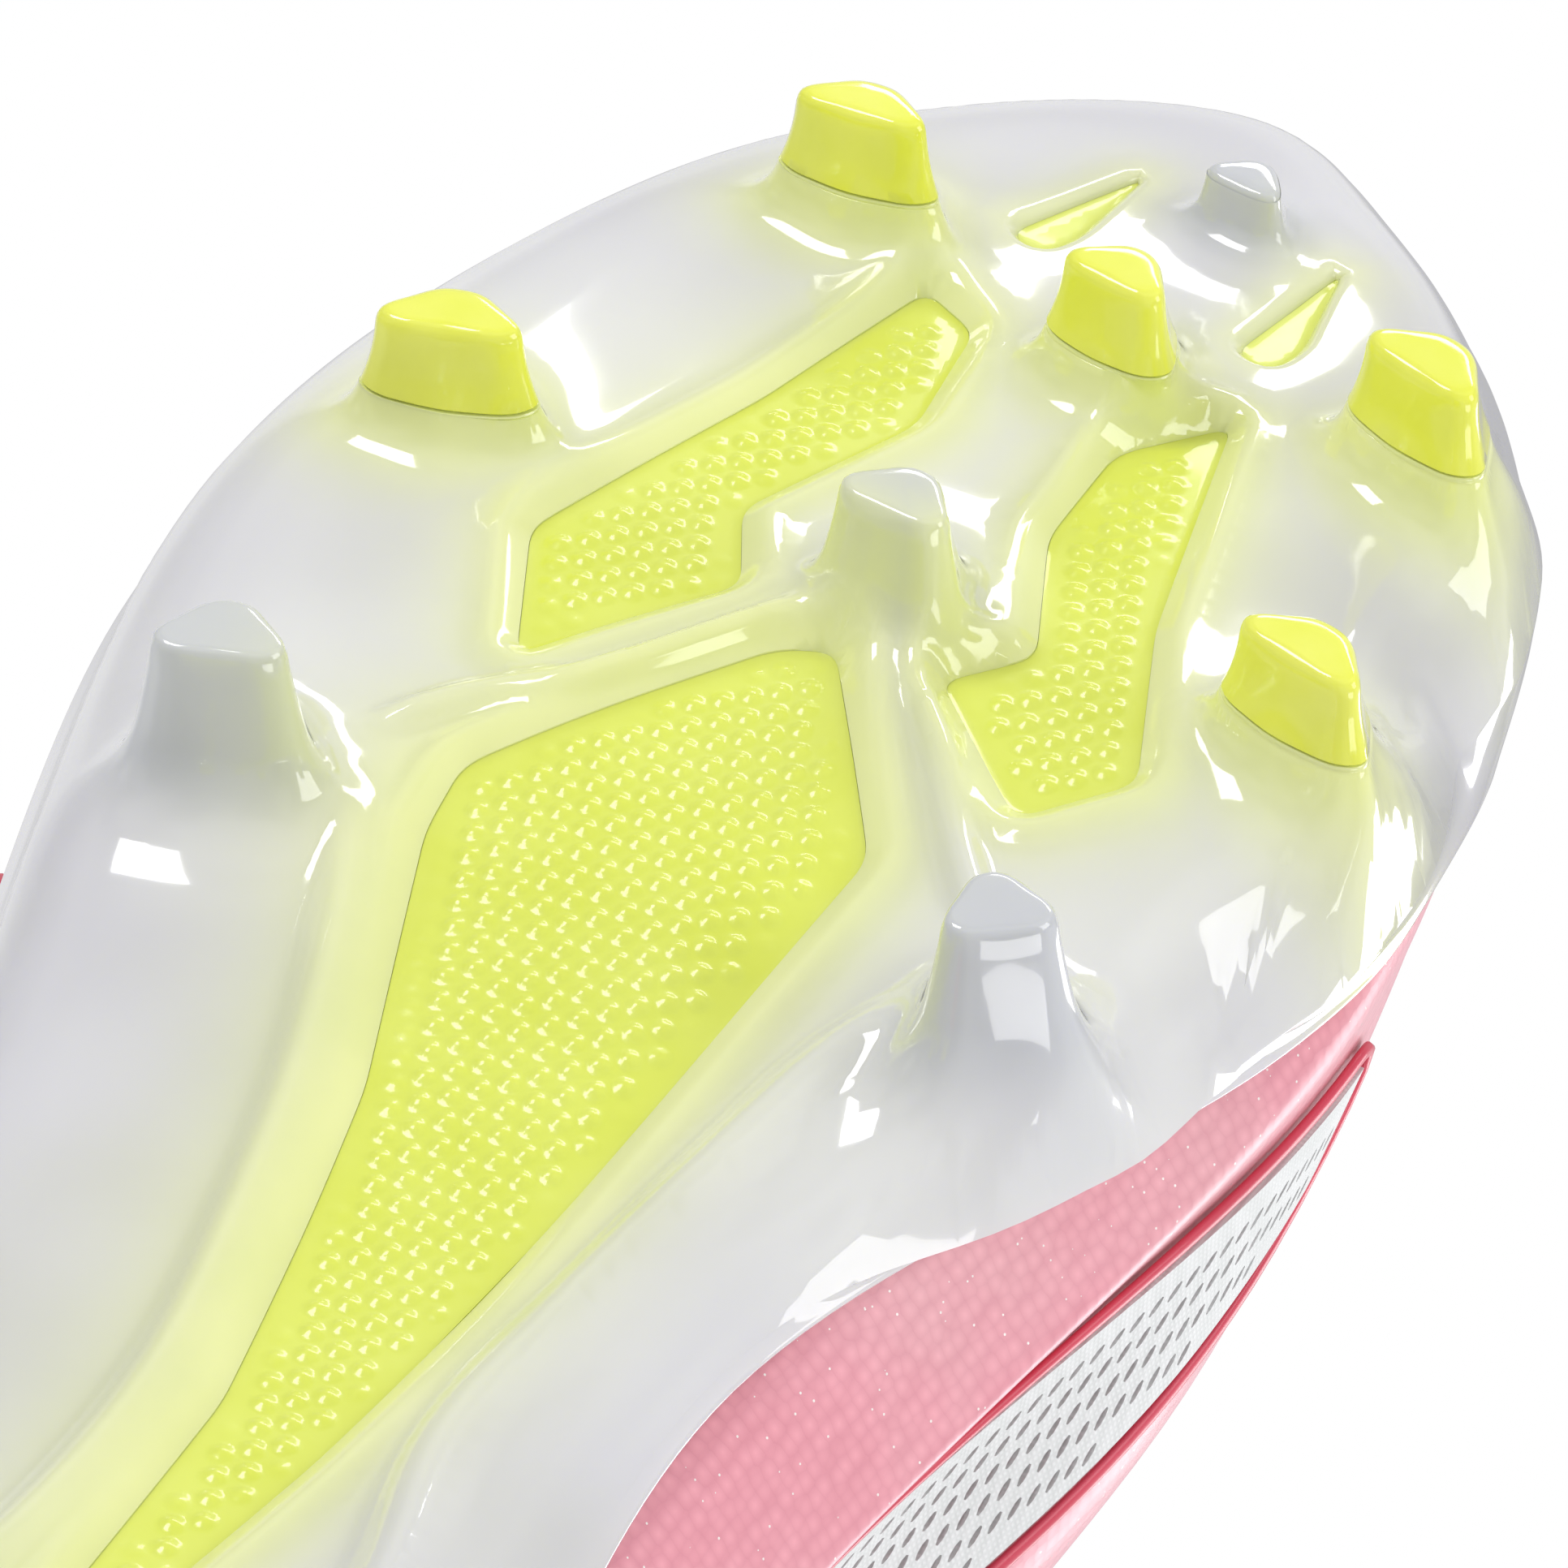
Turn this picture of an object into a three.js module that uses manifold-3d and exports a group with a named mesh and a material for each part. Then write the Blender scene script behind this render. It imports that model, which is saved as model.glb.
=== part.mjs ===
// Football boot for firm ground, right foot, laceless.
// +X points to the toe, +Y to the medial side and +Z up. The boot stands on its stud tips.
import * as THREE from 'three';
import { mergeVertices } from 'three/addons/utils/BufferGeometryUtils.js';
import Module from 'manifold-3d';

// Driving sizes, in millimetres.
const bootLength = 271;
const ballWidth = 102;
const heelWidth = 67;
const waistLateral = 42;
const waistMedial = 34;
const toeSwing = -10;
const forefootStudHeight = 12;
const heelStudHeight = 13;
const archRise = 6;
const toeSpring = 13;
const collarBackHeight = 92;
const collarSideHeight = 77;
const collarFrontHeight = 104;
const collarHalfWidth = 27;
const collarFront = 122;
const collarBack = 11;

// Thicknesses and fits.
const gap = 0.3;
const sideGap = 0.8;
const plateThickness = 2.2;
const plateLip = 1.3;
const coreThickness = 1.2;
const padRecess = 0.6;
const windowClearance = 0.35;
const upperThickness = 1.2;
const fillerThickness = 0.9;
const boardThickness = 1;
const footbedFoam = 3.5;
const footbedCloth = 0.5;
const counterThickness = 1.2;
const puffThickness = 0.7;
const collarFoamThickness = 3.4;
const liningThickness = 0.6;
const trimThickness = 0.7;
const tipHeight = 7;
const heelTipHeight = 8;
const pegHeight = 3;

// Plan places are drawn on a sample size and graded to the sizes above.
const sampleLength = 271;
const sampleBall = 102;
const along = (x) => x * bootLength / sampleLength;
const across = (y) => y * ballWidth / sampleBall;

// Levels number the rings of the last, from the middle of the sole to the collar.
const level = { spine: 0, edge: 2, widest: 3, bumper: 4, cheek: 5, vamp: 6, collar: 7 };
const spineLevel = 0.3;
const stationCount = 14;

// Every sheet and wall is cut on one grid, so that neighbours stay parallel.
const levelGrid = [spineLevel, 1, 1.55, 1.9, 2.2, 2.6, 3, 3.5, 4, 4.5, 5, 5.5, 6, 6.5, 7];
const roundSteps = 42;
const step = (count) => count / roundSteps;

const wasm = await Module();
wasm.setup();

const soleStack = plateThickness + coreThickness + 2 * gap;
const heelHalf = heelWidth / 2;

// Height of the plate's underside along the boot.
const underside = [
  [0, heelStudHeight + 2],
  [38, heelStudHeight],
  [108, forefootStudHeight + archRise],
  [152, forefootStudHeight + 1],
  [190, forefootStudHeight],
  [226, forefootStudHeight + 1],
  [256, forefootStudHeight + 0.4 * toeSpring],
  [276, forefootStudHeight + toeSpring],
];

// The widest line, seen from above: back of heel, lateral side, toe, medial side.
const widestLine = [
  [0, 0],
  [along(9), -0.63 * heelHalf],
  [along(38), -heelHalf],
  [along(108), -waistLateral],
  [along(178), -across(59.5)],
  [along(225), -across(50.5)],
  [along(257), -across(31)],
  [bootLength, toeSwing],
  [along(260), across(9.5)],
  [along(238), across(27)],
  [along(190), across(41.5)],
  [along(112), waistMedial],
  [along(38), heelHalf],
  [along(9), 0.63 * heelHalf],
];

// The top line round the ankle and over the instep.
const collarDrop = collarFrontHeight - collarSideHeight;
const collarLine = [
  [collarBack, 0, collarBackHeight],
  [collarBack + 6, -0.5 * collarHalfWidth, collarBackHeight - 2],
  [collarBack + 26, -0.9 * collarHalfWidth, collarBackHeight - 10],
  [collarBack + 54, -collarHalfWidth, collarSideHeight],
  [collarFront - 28, -0.89 * collarHalfWidth, collarFrontHeight - 0.7 * collarDrop],
  [collarFront - 11, -0.6 * collarHalfWidth, collarFrontHeight - 0.24 * collarDrop],
  [collarFront - 2, -0.28 * collarHalfWidth, collarFrontHeight - 1],
  [collarFront, 0, collarFrontHeight],
  [collarFront - 2, 0.28 * collarHalfWidth, collarFrontHeight - 1],
  [collarFront - 11, 0.6 * collarHalfWidth, collarFrontHeight - 0.22 * collarDrop],
  [collarFront - 28, 0.89 * collarHalfWidth, collarFrontHeight - 0.65 * collarDrop],
  [collarBack + 54, collarHalfWidth, collarSideHeight + 2],
  [collarBack + 26, 0.9 * collarHalfWidth, collarBackHeight - 10],
  [collarBack + 6, 0.5 * collarHalfWidth, collarBackHeight - 2],
];

// How far each station stands up and out from the straight line to the collar.
const mirrored = (half) => [...half, ...half.slice(1, -1).reverse()];
const shaping = [
  { share: 0.13, up: mirrored([0, 0, 0, 0, 2, 4, 5, 6]), out: mirrored([2, 2, 2, 3, 5, 5, 5, 5]) },
  { share: 0.4, up: mirrored([0, 0, 0, 2, 4, 4, -1, -4]), out: mirrored([3, 3, 4, 5, 9, 8, 4, 1]) },
  { share: 0.72, up: mirrored([0, 0, 0, 0, 1, 1, -3, -6]), out: mirrored([1, 1, 2, 3, 5, 5, 2, 0]) },
];
const edgeInset = 8;
const edgeLift = 0.8;
const widestLift = 11;

const held = (value, low, high) => Math.min(Math.max(value, low), high);

// A smooth curve through [place, value] pairs, graded along the boot.
function follow(pairs, x) {
  const place = held(x * sampleLength / bootLength, pairs[0][0], pairs.at(-1)[0]);
  let i = 0;
  while (i < pairs.length - 2 && place > pairs[i + 1][0]) {
    i += 1;
  }
  const slope = (k) => {
    const a = pairs[Math.max(k - 1, 0)];
    const b = pairs[Math.min(k + 1, pairs.length - 1)];
    return (b[1] - a[1]) / (b[0] - a[0]);
  };
  const [x0, z0] = pairs[i];
  const [x1, z1] = pairs[i + 1];
  const span = x1 - x0;
  const s = (place - x0) / span;
  const bend = (2 * s * s * s - 3 * s * s + 1) * z0 + (3 * s * s - 2 * s * s * s) * z1;
  return bend + (s * s * s - 2 * s * s + s) * span * slope(i) + (s * s * s - s * s) * span * slope(i + 1);
}

const bottomOf = (x) => follow(underside, x) + soleStack;

// The line down the middle of the sole that the inner rings shrink to.
function spinePoint(x) {
  const place = held(x, along(26), bootLength - along(34));
  const aside = toeSwing * Math.max(0, (place - along(120)) / bootLength);
  return new THREE.Vector3(place, aside, bottomOf(place));
}

function makeRings() {
  const widest = widestLine.map(([x, y]) => new THREE.Vector3(x, y, bottomOf(x) + widestLift));
  const edge = widest.map((point) => {
    const spine = spinePoint(point.x);
    const toward = new THREE.Vector3(spine.x - point.x, spine.y - point.y, 0).normalize();
    const inner = point.clone().addScaledVector(toward, edgeInset);
    inner.z = bottomOf(inner.x) + edgeLift;
    return inner;
  });
  const spine = edge.map((point) => spinePoint(point.x));
  const half = edge.map((point, i) => {
    const middle = point.clone().lerp(spine[i], 0.5);
    middle.z = bottomOf(middle.x);
    return middle;
  });
  const collar = collarLine.map(([x, y, z]) => new THREE.Vector3(x, y, z));
  const sides = shaping.map(({ share, up, out }) => widest.map((point, i) => {
    const outward = new THREE.Vector3(point.x - spine[i].x, point.y - spine[i].y, 0).normalize();
    const placed = point.clone().lerp(collar[i], share).addScaledVector(outward, out[i]);
    placed.z += up[i];
    return placed;
  }));
  return [spine, half, edge, widest, ...sides, collar];
}

const ringCurves = makeRings().map((points) => new THREE.CatmullRomCurve3(points, true, 'centripetal'));
const ribs = new Map();

// A point of the last's outer surface: u goes round the boot once, from the back of the heel.
function lastPoint(u, rise) {
  const turn = ((u % 1) + 1) % 1;
  const key = turn.toFixed(6);
  if (!ribs.has(key)) {
    const points = ringCurves.map((curve) => curve.getPoint(turn));
    ribs.set(key, new THREE.CatmullRomCurve3(points, false, 'centripetal'));
  }
  return ribs.get(key).getPoint(held(rise / level.collar, 0, 1));
}

function outwardAt(u, rise) {
  const du = 0.004;
  const dr = 0.03;
  const place = held(rise, 0.5, level.collar - dr);
  const round = lastPoint(u + du, place).sub(lastPoint(u - du, place));
  const up = lastPoint(u, place + dr).sub(lastPoint(u, place - dr));
  const normal = round.cross(up).normalize();
  const flat = held((1.3 - rise) / 0.8, 0, 1);
  return normal.lerp(new THREE.Vector3(0, 0, -1), flat).normalize();
}

// Depth is measured inwards from the outer face of the upper.
function skinPoint(u, rise, depth) {
  return lastPoint(u, rise).addScaledVector(outwardAt(u, rise), -depth);
}

const valueAt = (value, u) => (typeof value === 'function' ? value(u) : value);

// Faces that shrink to a line, where a row meets an edge, are left out.
function closeMesh(points, faces) {
  const loose = new THREE.BufferGeometry();
  loose.setAttribute('position', new THREE.Float32BufferAttribute(points.flatMap((p) => [p.x, p.y, p.z]), 3));
  loose.setIndex(faces.flat());
  const geometry = mergeVertices(loose, 1e-3);
  const index = Array.from(geometry.getIndex().array);
  const kept = [];
  for (let k = 0; k < index.length; k += 3) {
    const [a, b, c] = index.slice(k, k + 3);
    if (a !== b && b !== c && c !== a) {
      kept.push(a, b, c);
    }
  }
  geometry.setIndex(kept);
  return facingOut(geometry);
}

function facingOut(geometry) {
  const position = geometry.getAttribute('position');
  const index = geometry.getIndex();
  const corner = (k) => new THREE.Vector3().fromBufferAttribute(position, index.getX(k));
  let volume = 0;
  for (let k = 0; k < index.count; k += 3) {
    volume += corner(k).dot(corner(k + 1).cross(corner(k + 2)));
  }
  if (volume < 0) {
    const turned = [];
    for (let k = 0; k < index.count; k += 3) {
      turned.push(index.getX(k), index.getX(k + 2), index.getX(k + 1));
    }
    geometry.setIndex(turned);
  }
  return geometry;
}

// Joins rows of equal length. Closed rows wrap round; a loop joins its last row to its first.
// The inner face, the second half of a section, is split the other way, so that the faces of
// neighbouring pieces stay parallel.
function gridFaces(rows, columns, { wrap, loop, inner }) {
  const faces = [];
  const lastRow = loop ? rows : rows - 1;
  const lastColumn = wrap ? columns : columns - 1;
  for (let r = 0; r < lastRow; r += 1) {
    for (let c = 0; c < lastColumn; c += 1) {
      const a = r * columns + c;
      const b = r * columns + (c + 1) % columns;
      const d = ((r + 1) % rows) * columns + c;
      const e = ((r + 1) % rows) * columns + (c + 1) % columns;
      if (inner && inner(r, c)) {
        faces.push([a, b, d], [b, e, d]);
      } else {
        faces.push([a, b, e], [a, e, d]);
      }
    }
  }
  return faces;
}

// Closes a ring by steps across it, from its first point to the one opposite.
function capFaces(count, start, turned) {
  const faces = [];
  for (let k = 0; k < count / 2; k += 1) {
    const [a, b, c, d] = [k, k + 1, count - k - 1, (count - k) % count].map((i) => start + i);
    faces.push([a, b, c], [a, c, d]);
  }
  const real = faces.filter((face) => new Set(face).size === 3);
  return turned ? real.map(([a, b, c]) => [a, c, b]) : real;
}

// A solid of closed rings, closed across its first and last ring.
function stackOfRings(rows, innerFrom) {
  const columns = rows[0].length;
  const inner = (r) => r >= innerFrom;
  const faces = gridFaces(rows.length, columns, { wrap: true, loop: false, inner });
  faces.push(...capFaces(columns, 0, true));
  faces.push(...capFaces(columns, (rows.length - 1) * columns, false));
  return closeMesh(rows.flat(), faces);
}

function ringAt(rise, depth) {
  return Array.from({ length: roundSteps }, (_, i) => {
    const u = i / roundSteps;
    return skinPoint(u, valueAt(rise, u), valueAt(depth, u));
  });
}

// A sheet over the whole sole: out along one face, back along the other.
function soleSheet(outer, inner) {
  return stackOfRings([...outer, ...inner].map(([rise, depth]) => ringAt(rise, depth)), outer.length);
}


// The grid's levels from low to high, as functions of the way round.
function rowsBetween(low, high) {
  return levelGrid.map((mark) => (u) => held(mark, valueAt(low, u), valueAt(high, u)));
}

const pairUp = (rows, depth) => rows.map((rise) => [rise, typeof depth === 'function'
  ? (u) => depth(rise(u))
  : depth]);

// A solid filling the last up to the collar at one depth.
function solidInside(depth) {
  return soleSheet(pairUp(rowsBetween(spineLevel, level.collar), depth), []);
}

// A closed loop of [level, depth] pairs: up the outer face and down the inner one.
// A depth may be a function of the level.
function wallSection(low, high, outer, inner) {
  const rows = rowsBetween(low, high);
  return [...pairUp(rows, outer), ...pairUp([...rows].reverse(), inner)];
}

function sheetBetween(high, outer, inner) {
  const rows = rowsBetween(spineLevel, high);
  return soleSheet(pairUp(rows, outer), pairUp([...rows].reverse(), inner));
}

function sectionPoints(section, u) {
  return section.map(([rise, depth]) => skinPoint(u, valueAt(rise, u), valueAt(depth, u)));
}

// A wall round the whole boot.
function wallAllRound(section) {
  const rows = Array.from({ length: roundSteps }, (_, i) => sectionPoints(section, i / roundSteps));
  const inner = (r, c) => c >= section.length / 2;
  return closeMesh(rows.flat(), gridFaces(rows.length, section.length, { wrap: true, loop: true, inner }));
}

// A wall over part of the way round, closed at both ends. Its ends are counted in grid steps.
function wallBetween(from, to, section) {
  const places = Array.from({ length: to - from + 1 }, (_, i) => step(from + i));
  const rows = places.map((u) => sectionPoints(section, u));
  const half = section.length / 2;
  const inner = (r, c) => c >= half;
  const faces = gridFaces(rows.length, section.length, { wrap: true, loop: false, inner });
  const endFaces = (start, turned) => {
    for (let k = 0; k < half - 1; k += 1) {
      const [a, b, c, d] = [k, k + 1, section.length - 2 - k, section.length - 1 - k].map((i) => start + i);
      faces.push(turned ? [a, c, b] : [a, b, c], turned ? [a, d, c] : [a, c, d]);
    }
  };
  endFaces(0, true);
  endFaces((rows.length - 1) * section.length, false);
  return closeMesh(rows.flat(), faces);
}

function toManifold(geometry) {
  const bare = geometry.clone();
  bare.deleteAttribute('normal');
  bare.deleteAttribute('uv');
  const merged = mergeVertices(bare, 1e-4);
  return new wasm.Manifold(new wasm.Mesh({
    numProp: 3,
    vertProperties: new Float32Array(merged.getAttribute('position').array),
    triVerts: new Uint32Array(merged.getIndex().array),
  }));
}

function fromManifold(solid) {
  const mesh = solid.getMesh();
  const geometry = new THREE.BufferGeometry();
  geometry.setAttribute('position', new THREE.Float32BufferAttribute(mesh.vertProperties, 3));
  geometry.setIndex(Array.from(mesh.triVerts));
  return geometry;
}

// Studs. Each stands under a triangle whose point looks along its heading.
const studs = [
  { name: 'medial_front', x: 220.2, y: 28.4, heading: 18, base: 15.6, point: 7.4, tipped: true },
  { name: 'medial_middle', x: 185.3, y: 36.4, heading: 15, base: 16.4, point: 7.2, tipped: true },
  { name: 'medial_rear', x: 148, y: 30.3, heading: -38, base: 12, point: 9.5, tipped: false },
  { name: 'centre_front', x: 218.2, y: 2.5, heading: 10, base: 13, point: 7, tipped: true },
  { name: 'centre_middle', x: 185.4, y: 1.2, heading: 6, base: 13, point: 7.4, tipped: false },
  { name: 'lateral_front', x: 226.9, y: -25.3, heading: -4, base: 15.6, point: 6.4, tipped: true },
  { name: 'lateral_middle', x: 187.2, y: -39.6, heading: -16, base: 16.2, point: 7.4, tipped: true },
  { name: 'lateral_rear', x: 146, y: -34.5, heading: -20, base: 14, point: 8.5, tipped: false },
  { name: 'heel_medial_front', x: 58, y: 22, heading: 195, base: 15, point: 9, tipped: true, heel: true },
  { name: 'heel_medial_rear', x: 24, y: 17, heading: 205, base: 14, point: 9, tipped: true, heel: true },
  { name: 'heel_lateral_front', x: 56, y: -22, heading: 165, base: 15, point: 9, tipped: true, heel: true },
  { name: 'heel_lateral_rear', x: 22, y: -17, heading: 155, base: 14, point: 9, tipped: true, heel: true },
];
const toeStud = { name: 'toe', x: 243.5, y: 0.7, heading: 8, base: 9.5, point: 5.4, lift: 8.5 };
const studCorner = 0.22;
const studFlare = 0.17;
const studSweep = 5;

// One ring of a stud: a triangle with cut corners, grown outwards by a distance.
function studRing(stud, z, grow) {
  const half = stud.base / 2;
  const corners = [
    new THREE.Vector2(-stud.point * 0.4, -half),
    new THREE.Vector2(stud.point * 0.6, 0),
    new THREE.Vector2(-stud.point * 0.4, half),
  ];
  const ring = [];
  corners.forEach((corner, i) => {
    for (const other of [corners[(i + 2) % 3], corners[(i + 1) % 3]]) {
      ring.push(corner.clone().lerp(other, studCorner));
    }
  });
  const turn = THREE.MathUtils.degToRad(stud.heading);
  return ring.map((place) => {
    const grown = place.clone().add(place.clone().normalize().multiplyScalar(grow));
    grown.rotateAround(new THREE.Vector2(), turn);
    return new THREE.Vector3(along(stud.x) + grown.x, across(stud.y) + grown.y, z);
  });
}

// The outer shape widens slowly down the stud and then sweeps out into the plate.
function studStack(stud, from, to, shrink) {
  const root = follow(underside, along(stud.x));
  const foot = stud.lift ?? 0;
  const widen = (z) => studFlare * (z - foot) - shrink + studSweep * Math.max(0, (z - root + 5) / 6) ** 2.4;
  const marks = [root - 5, root - 3, root - 1.2, root + 0.6, root + 4];
  const heights = [from, ...marks.filter((z) => z > from && z < to)];
  const levels = [...new Set([...heights, to])].filter((z, i, all) => i === 0 || z - all[i - 1] > 0.05);
  const rings = levels.map((z) => studRing(stud, z, widen(Math.min(z, root + 0.6))));
  return toManifold(stackOfRings(rings, rings.length));
}

const tipTopOf = (stud) => (stud.heel ? heelTipHeight : tipHeight);

function studTip(stud) {
  const top = tipTopOf(stud);
  const shell = studStack(stud, 0, top, 0);
  const socket = studStack(stud, top - pegHeight - gap, top + 1, 2.2);
  return fromManifold(shell.subtract(socket));
}

function pedestal(stud, insidePlate) {
  const root = follow(underside, along(stud.x));
  const reach = root + 7;
  if (!stud.tipped) {
    return studStack(stud, stud.lift ?? 0, reach, 0).subtract(insidePlate);
  }
  const top = tipTopOf(stud);
  const peg = studStack(stud, top - pegHeight, top + 2, 2.2 + gap);
  return studStack(stud, top + gap, reach, 0).add(peg).subtract(insidePlate);
}

// Windows in the plate, where the stiffening frame shows.
const windows = [
  [[222, -17], [219, -11], [206, -9], [190, -15.5], [182, -11], [167, -22], [180, -28.5], [203, -21]],
  [[219, 12], [211, 6], [199, 6.5], [186, 12.5], [180, 7.5], [170, 19.5], [177, 26], [193, 19]],
  [[177, -5], [179, -1], [161, 12], [124, 10], [90, 8], [60, 5], [58, 2], [92, -1], [124, -9], [148, -18.5],
    [155, -19.5]],
  [[233, -15.5], [231.5, -12], [235, -10.5], [247, -10.5]],
  [[228, 7.5], [227, 11], [231, 12], [243, 9.5]],
];

function insetOutline(points, distance) {
  const count = points.length;
  return points.map((point, i) => {
    const before = points[(i + count - 1) % count];
    const after = points[(i + 1) % count];
    const inward = (a, b) => new THREE.Vector2(a.y - b.y, b.x - a.x).normalize();
    const side = THREE.ShapeUtils.isClockWise(points) ? -1 : 1;
    const n0 = inward(before, point).multiplyScalar(side);
    const n1 = inward(point, after).multiplyScalar(side);
    const mitre = n0.clone().add(n1).normalize();
    return point.clone().addScaledVector(mitre, distance / Math.max(mitre.dot(n0), 0.5));
  });
}

function windowPrism(outline, inset) {
  const drawn = outline.map(([x, y]) => new THREE.Vector2(along(x), across(y)));
  const shape = new THREE.Shape(insetOutline(drawn, inset));
  const prism = new THREE.ExtrudeGeometry(shape, { depth: 40, bevelEnabled: false, steps: 1 });
  return toManifold(prism);
}

// The plate's edge climbs at the toe and heel and runs in under the arch on the medial side.
const edgeByStation = [3.7, 3.65, 3.45, 2.9, 3, 3.25, 3.5, 3.7, 3.6, 3.6, 3.14, 2.02, 2.9, 3.6];
function smoothRound(values, u) {
  const place = (((u % 1) + 1) % 1) * stationCount;
  const i = Math.floor(place);
  const s = place - i;
  const ease = s * s * (3 - 2 * s);
  return values[i % stationCount] * (1 - ease) + values[(i + 1) % stationCount] * ease;
}
const plateEdge = (u) => smoothRound(edgeByStation, u);
const coreEdge = (u) => Math.min(1.72, plateEdge(u) - 0.35);

function makeSoleplate() {
  const outerDepth = (rise) => {
    const thin = held((rise - 1.8) / 0.9, 0, 1);
    return -(soleStack * (1 - thin) + (plateLip + gap) * thin);
  };
  const ledge = (u) => coreEdge(u) + 0.06;
  const outer = pairUp(rowsBetween(spineLevel, plateEdge), outerDepth);
  const inner = pairUp(rowsBetween(ledge, plateEdge), -sideGap).reverse();
  const seat = pairUp(rowsBetween(spineLevel, ledge), -(coreThickness + 2 * gap)).reverse();
  let plate = toManifold(soleSheet(outer, [...inner, ...seat]));
  const insidePlate = toManifold(solidInside(-(soleStack - 1.1)));
  for (const stud of [...studs, toeStud]) {
    plate = plate.add(pedestal(stud, insidePlate));
  }
  for (const window of windows) {
    plate = plate.subtract(windowPrism(window, 0));
  }
  return fromManifold(plate);
}

function makeStiffeningFrame() {
  let frame = toManifold(sheetBetween(coreEdge, -(coreThickness + gap), -gap));
  const padFace = toManifold(solidInside(-(soleStack - padRecess)));
  const padRoot = toManifold(solidInside(-(coreThickness + gap) / 2));
  for (const window of windows) {
    const prism = windowPrism(window, windowClearance);
    frame = frame.add(prism.intersect(padFace).subtract(padRoot));
  }
  return fromManifold(frame);
}

// The knit collar reaches down over the instep as a stretch gore.
const goreHalf = 0.09;
const goreDepth = 0.75;
const collarBand = 6.35;
function collarEdge(u) {
  const away = Math.abs(u - 0.5) / goreHalf;
  return collarBand - goreDepth * (away < 1 ? Math.cos(away * Math.PI / 2) ** 1.5 : 0);
}
const marginLevel = 1.2;
const seamGap = 0.04;

const collarFoamFrom = 5;
const counterTop = 4.5;
const boardDepth = upperThickness + gap;
const foamDepth = boardDepth + boardThickness + gap;
const clothDepth = foamDepth + footbedFoam + gap;
const counterDepth = upperThickness + gap;
const liningLow = counterDepth + counterThickness + gap;
const liningHigh = counterDepth + collarFoamThickness + gap;
const liningAt = (extra) => (rise) => {
  const rising = held((rise - counterTop) / (collarFoamFrom - counterTop), 0, 1);
  return liningLow + rising * (liningHigh - liningLow) + extra;
};

const flatSheet = (edge, depth, thickness) => sheetBetween(edge, depth, depth + thickness);

// Vent panels sit on both sides of the quarter, each framed by a piping.
// The lateral one stands higher, above the plate's side wall.
const vents = [
  { name: 'lateral', side: 1, low: 3.85 },
  { name: 'medial', side: -1, low: 3.35 },
];
const pipingWidth = 1.6;
const pipingLift = 0.25;
const ventFrom = 6;
const ventTo = 11;
const ventFront = 0.3;
const ventTall = 1.4;
const ventHeight = (s) => ventFront + (ventTall - ventFront) * Math.cos(s * Math.PI / 2) ** 0.8;

function ventPanel({ side, low }) {
  const place = (u) => held((Math.abs(u) - step(ventFrom)) / step(ventTo - ventFrom), 0, 1);
  const high = (u) => low + ventHeight(place(u));
  const section = wallSection(low, high, -(gap + trimThickness), -gap);
  const [from, to] = side > 0 ? [ventFrom, ventTo] : [-ventTo, -ventFrom];
  return wallBetween(from, to, section);
}

// A flat band following places on the skin, closed on itself.
function bandAlong(places, width, outer, inner) {
  const count = places.length;
  const centres = places.map(([u, rise]) => skinPoint(u, rise, outer));
  const rows = places.map(([u, rise], i) => {
    const ahead = centres[(i + 1) % count].clone().sub(centres[(i + count - 1) % count]).normalize();
    const out = outwardAt(u, rise);
    const aside = ahead.cross(out).normalize().multiplyScalar(width / 2);
    const low = skinPoint(u, rise, inner);
    const top = centres[i];
    return [top.clone().add(aside), top.clone().sub(aside), low.clone().sub(aside), low.clone().add(aside)];
  });
  return closeMesh(rows.flat(), gridFaces(count, 4, { wrap: true, loop: true }));
}

function ventPiping({ side, low }) {
  const clearEnd = step(0.3);
  const clearRise = 0.16;
  const count = ventTo - ventFrom;
  const shares = Array.from({ length: count + 1 }, (_, i) => i / count);
  const uAt = (s) => side * (step(ventFrom) + s * step(count));
  const lower = shares.map((s) => [uAt(s), low - clearRise]);
  const upper = shares.map((s) => [uAt(s), low + ventHeight(s) + clearRise]).reverse();
  const end = (s, extra) => [0.2, 0.8].map((k) => [uAt(s) + side * extra, low + k * ventHeight(s)]);
  const places = [...lower, ...end(1, clearEnd), ...upper, ...end(0, -clearEnd).reverse()];
  return bandAlong(places, pipingWidth, -(gap + pipingLift + trimThickness), -(gap + pipingLift));
}

// A loop of webbing, seen from its edge as a long round slot. It lies against the skin from
// one level upwards and stands past the top line.
const tabWidth = 14;
const tabWebbing = 1.3;
const tabClearance = 0.5;
function pullTab({ u, from, length, slot, under }) {
  const outer = slot / 2 + tabWebbing;
  const loop = new THREE.Shape();
  loop.absarc(0, outer, outer, Math.PI, 2 * Math.PI, false);
  loop.absarc(0, length - outer, outer, 0, Math.PI, false);
  const hole = new THREE.Path();
  hole.absarc(0, outer, slot / 2, Math.PI, 2 * Math.PI, false);
  hole.absarc(0, length - outer, slot / 2, 0, Math.PI, false);
  loop.holes.push(hole);
  const body = new THREE.ExtrudeGeometry(loop, { depth: tabWidth, bevelEnabled: false, curveSegments: 6 });
  body.translate(under + tabClearance + outer, 0, -tabWidth / 2);
  const foot = lastPoint(u, from);
  const up = lastPoint(u, level.collar).sub(foot).setY(0).normalize();
  const aside = new THREE.Vector3(0, u > 0.25 ? -1 : 1, 0);
  const out = up.clone().cross(aside).normalize();
  const placing = new THREE.Matrix4().makeBasis(out, up, aside.clone()).setPosition(foot);
  body.applyMatrix4(placing);
  return fromManifold(toManifold(body));
}

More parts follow.
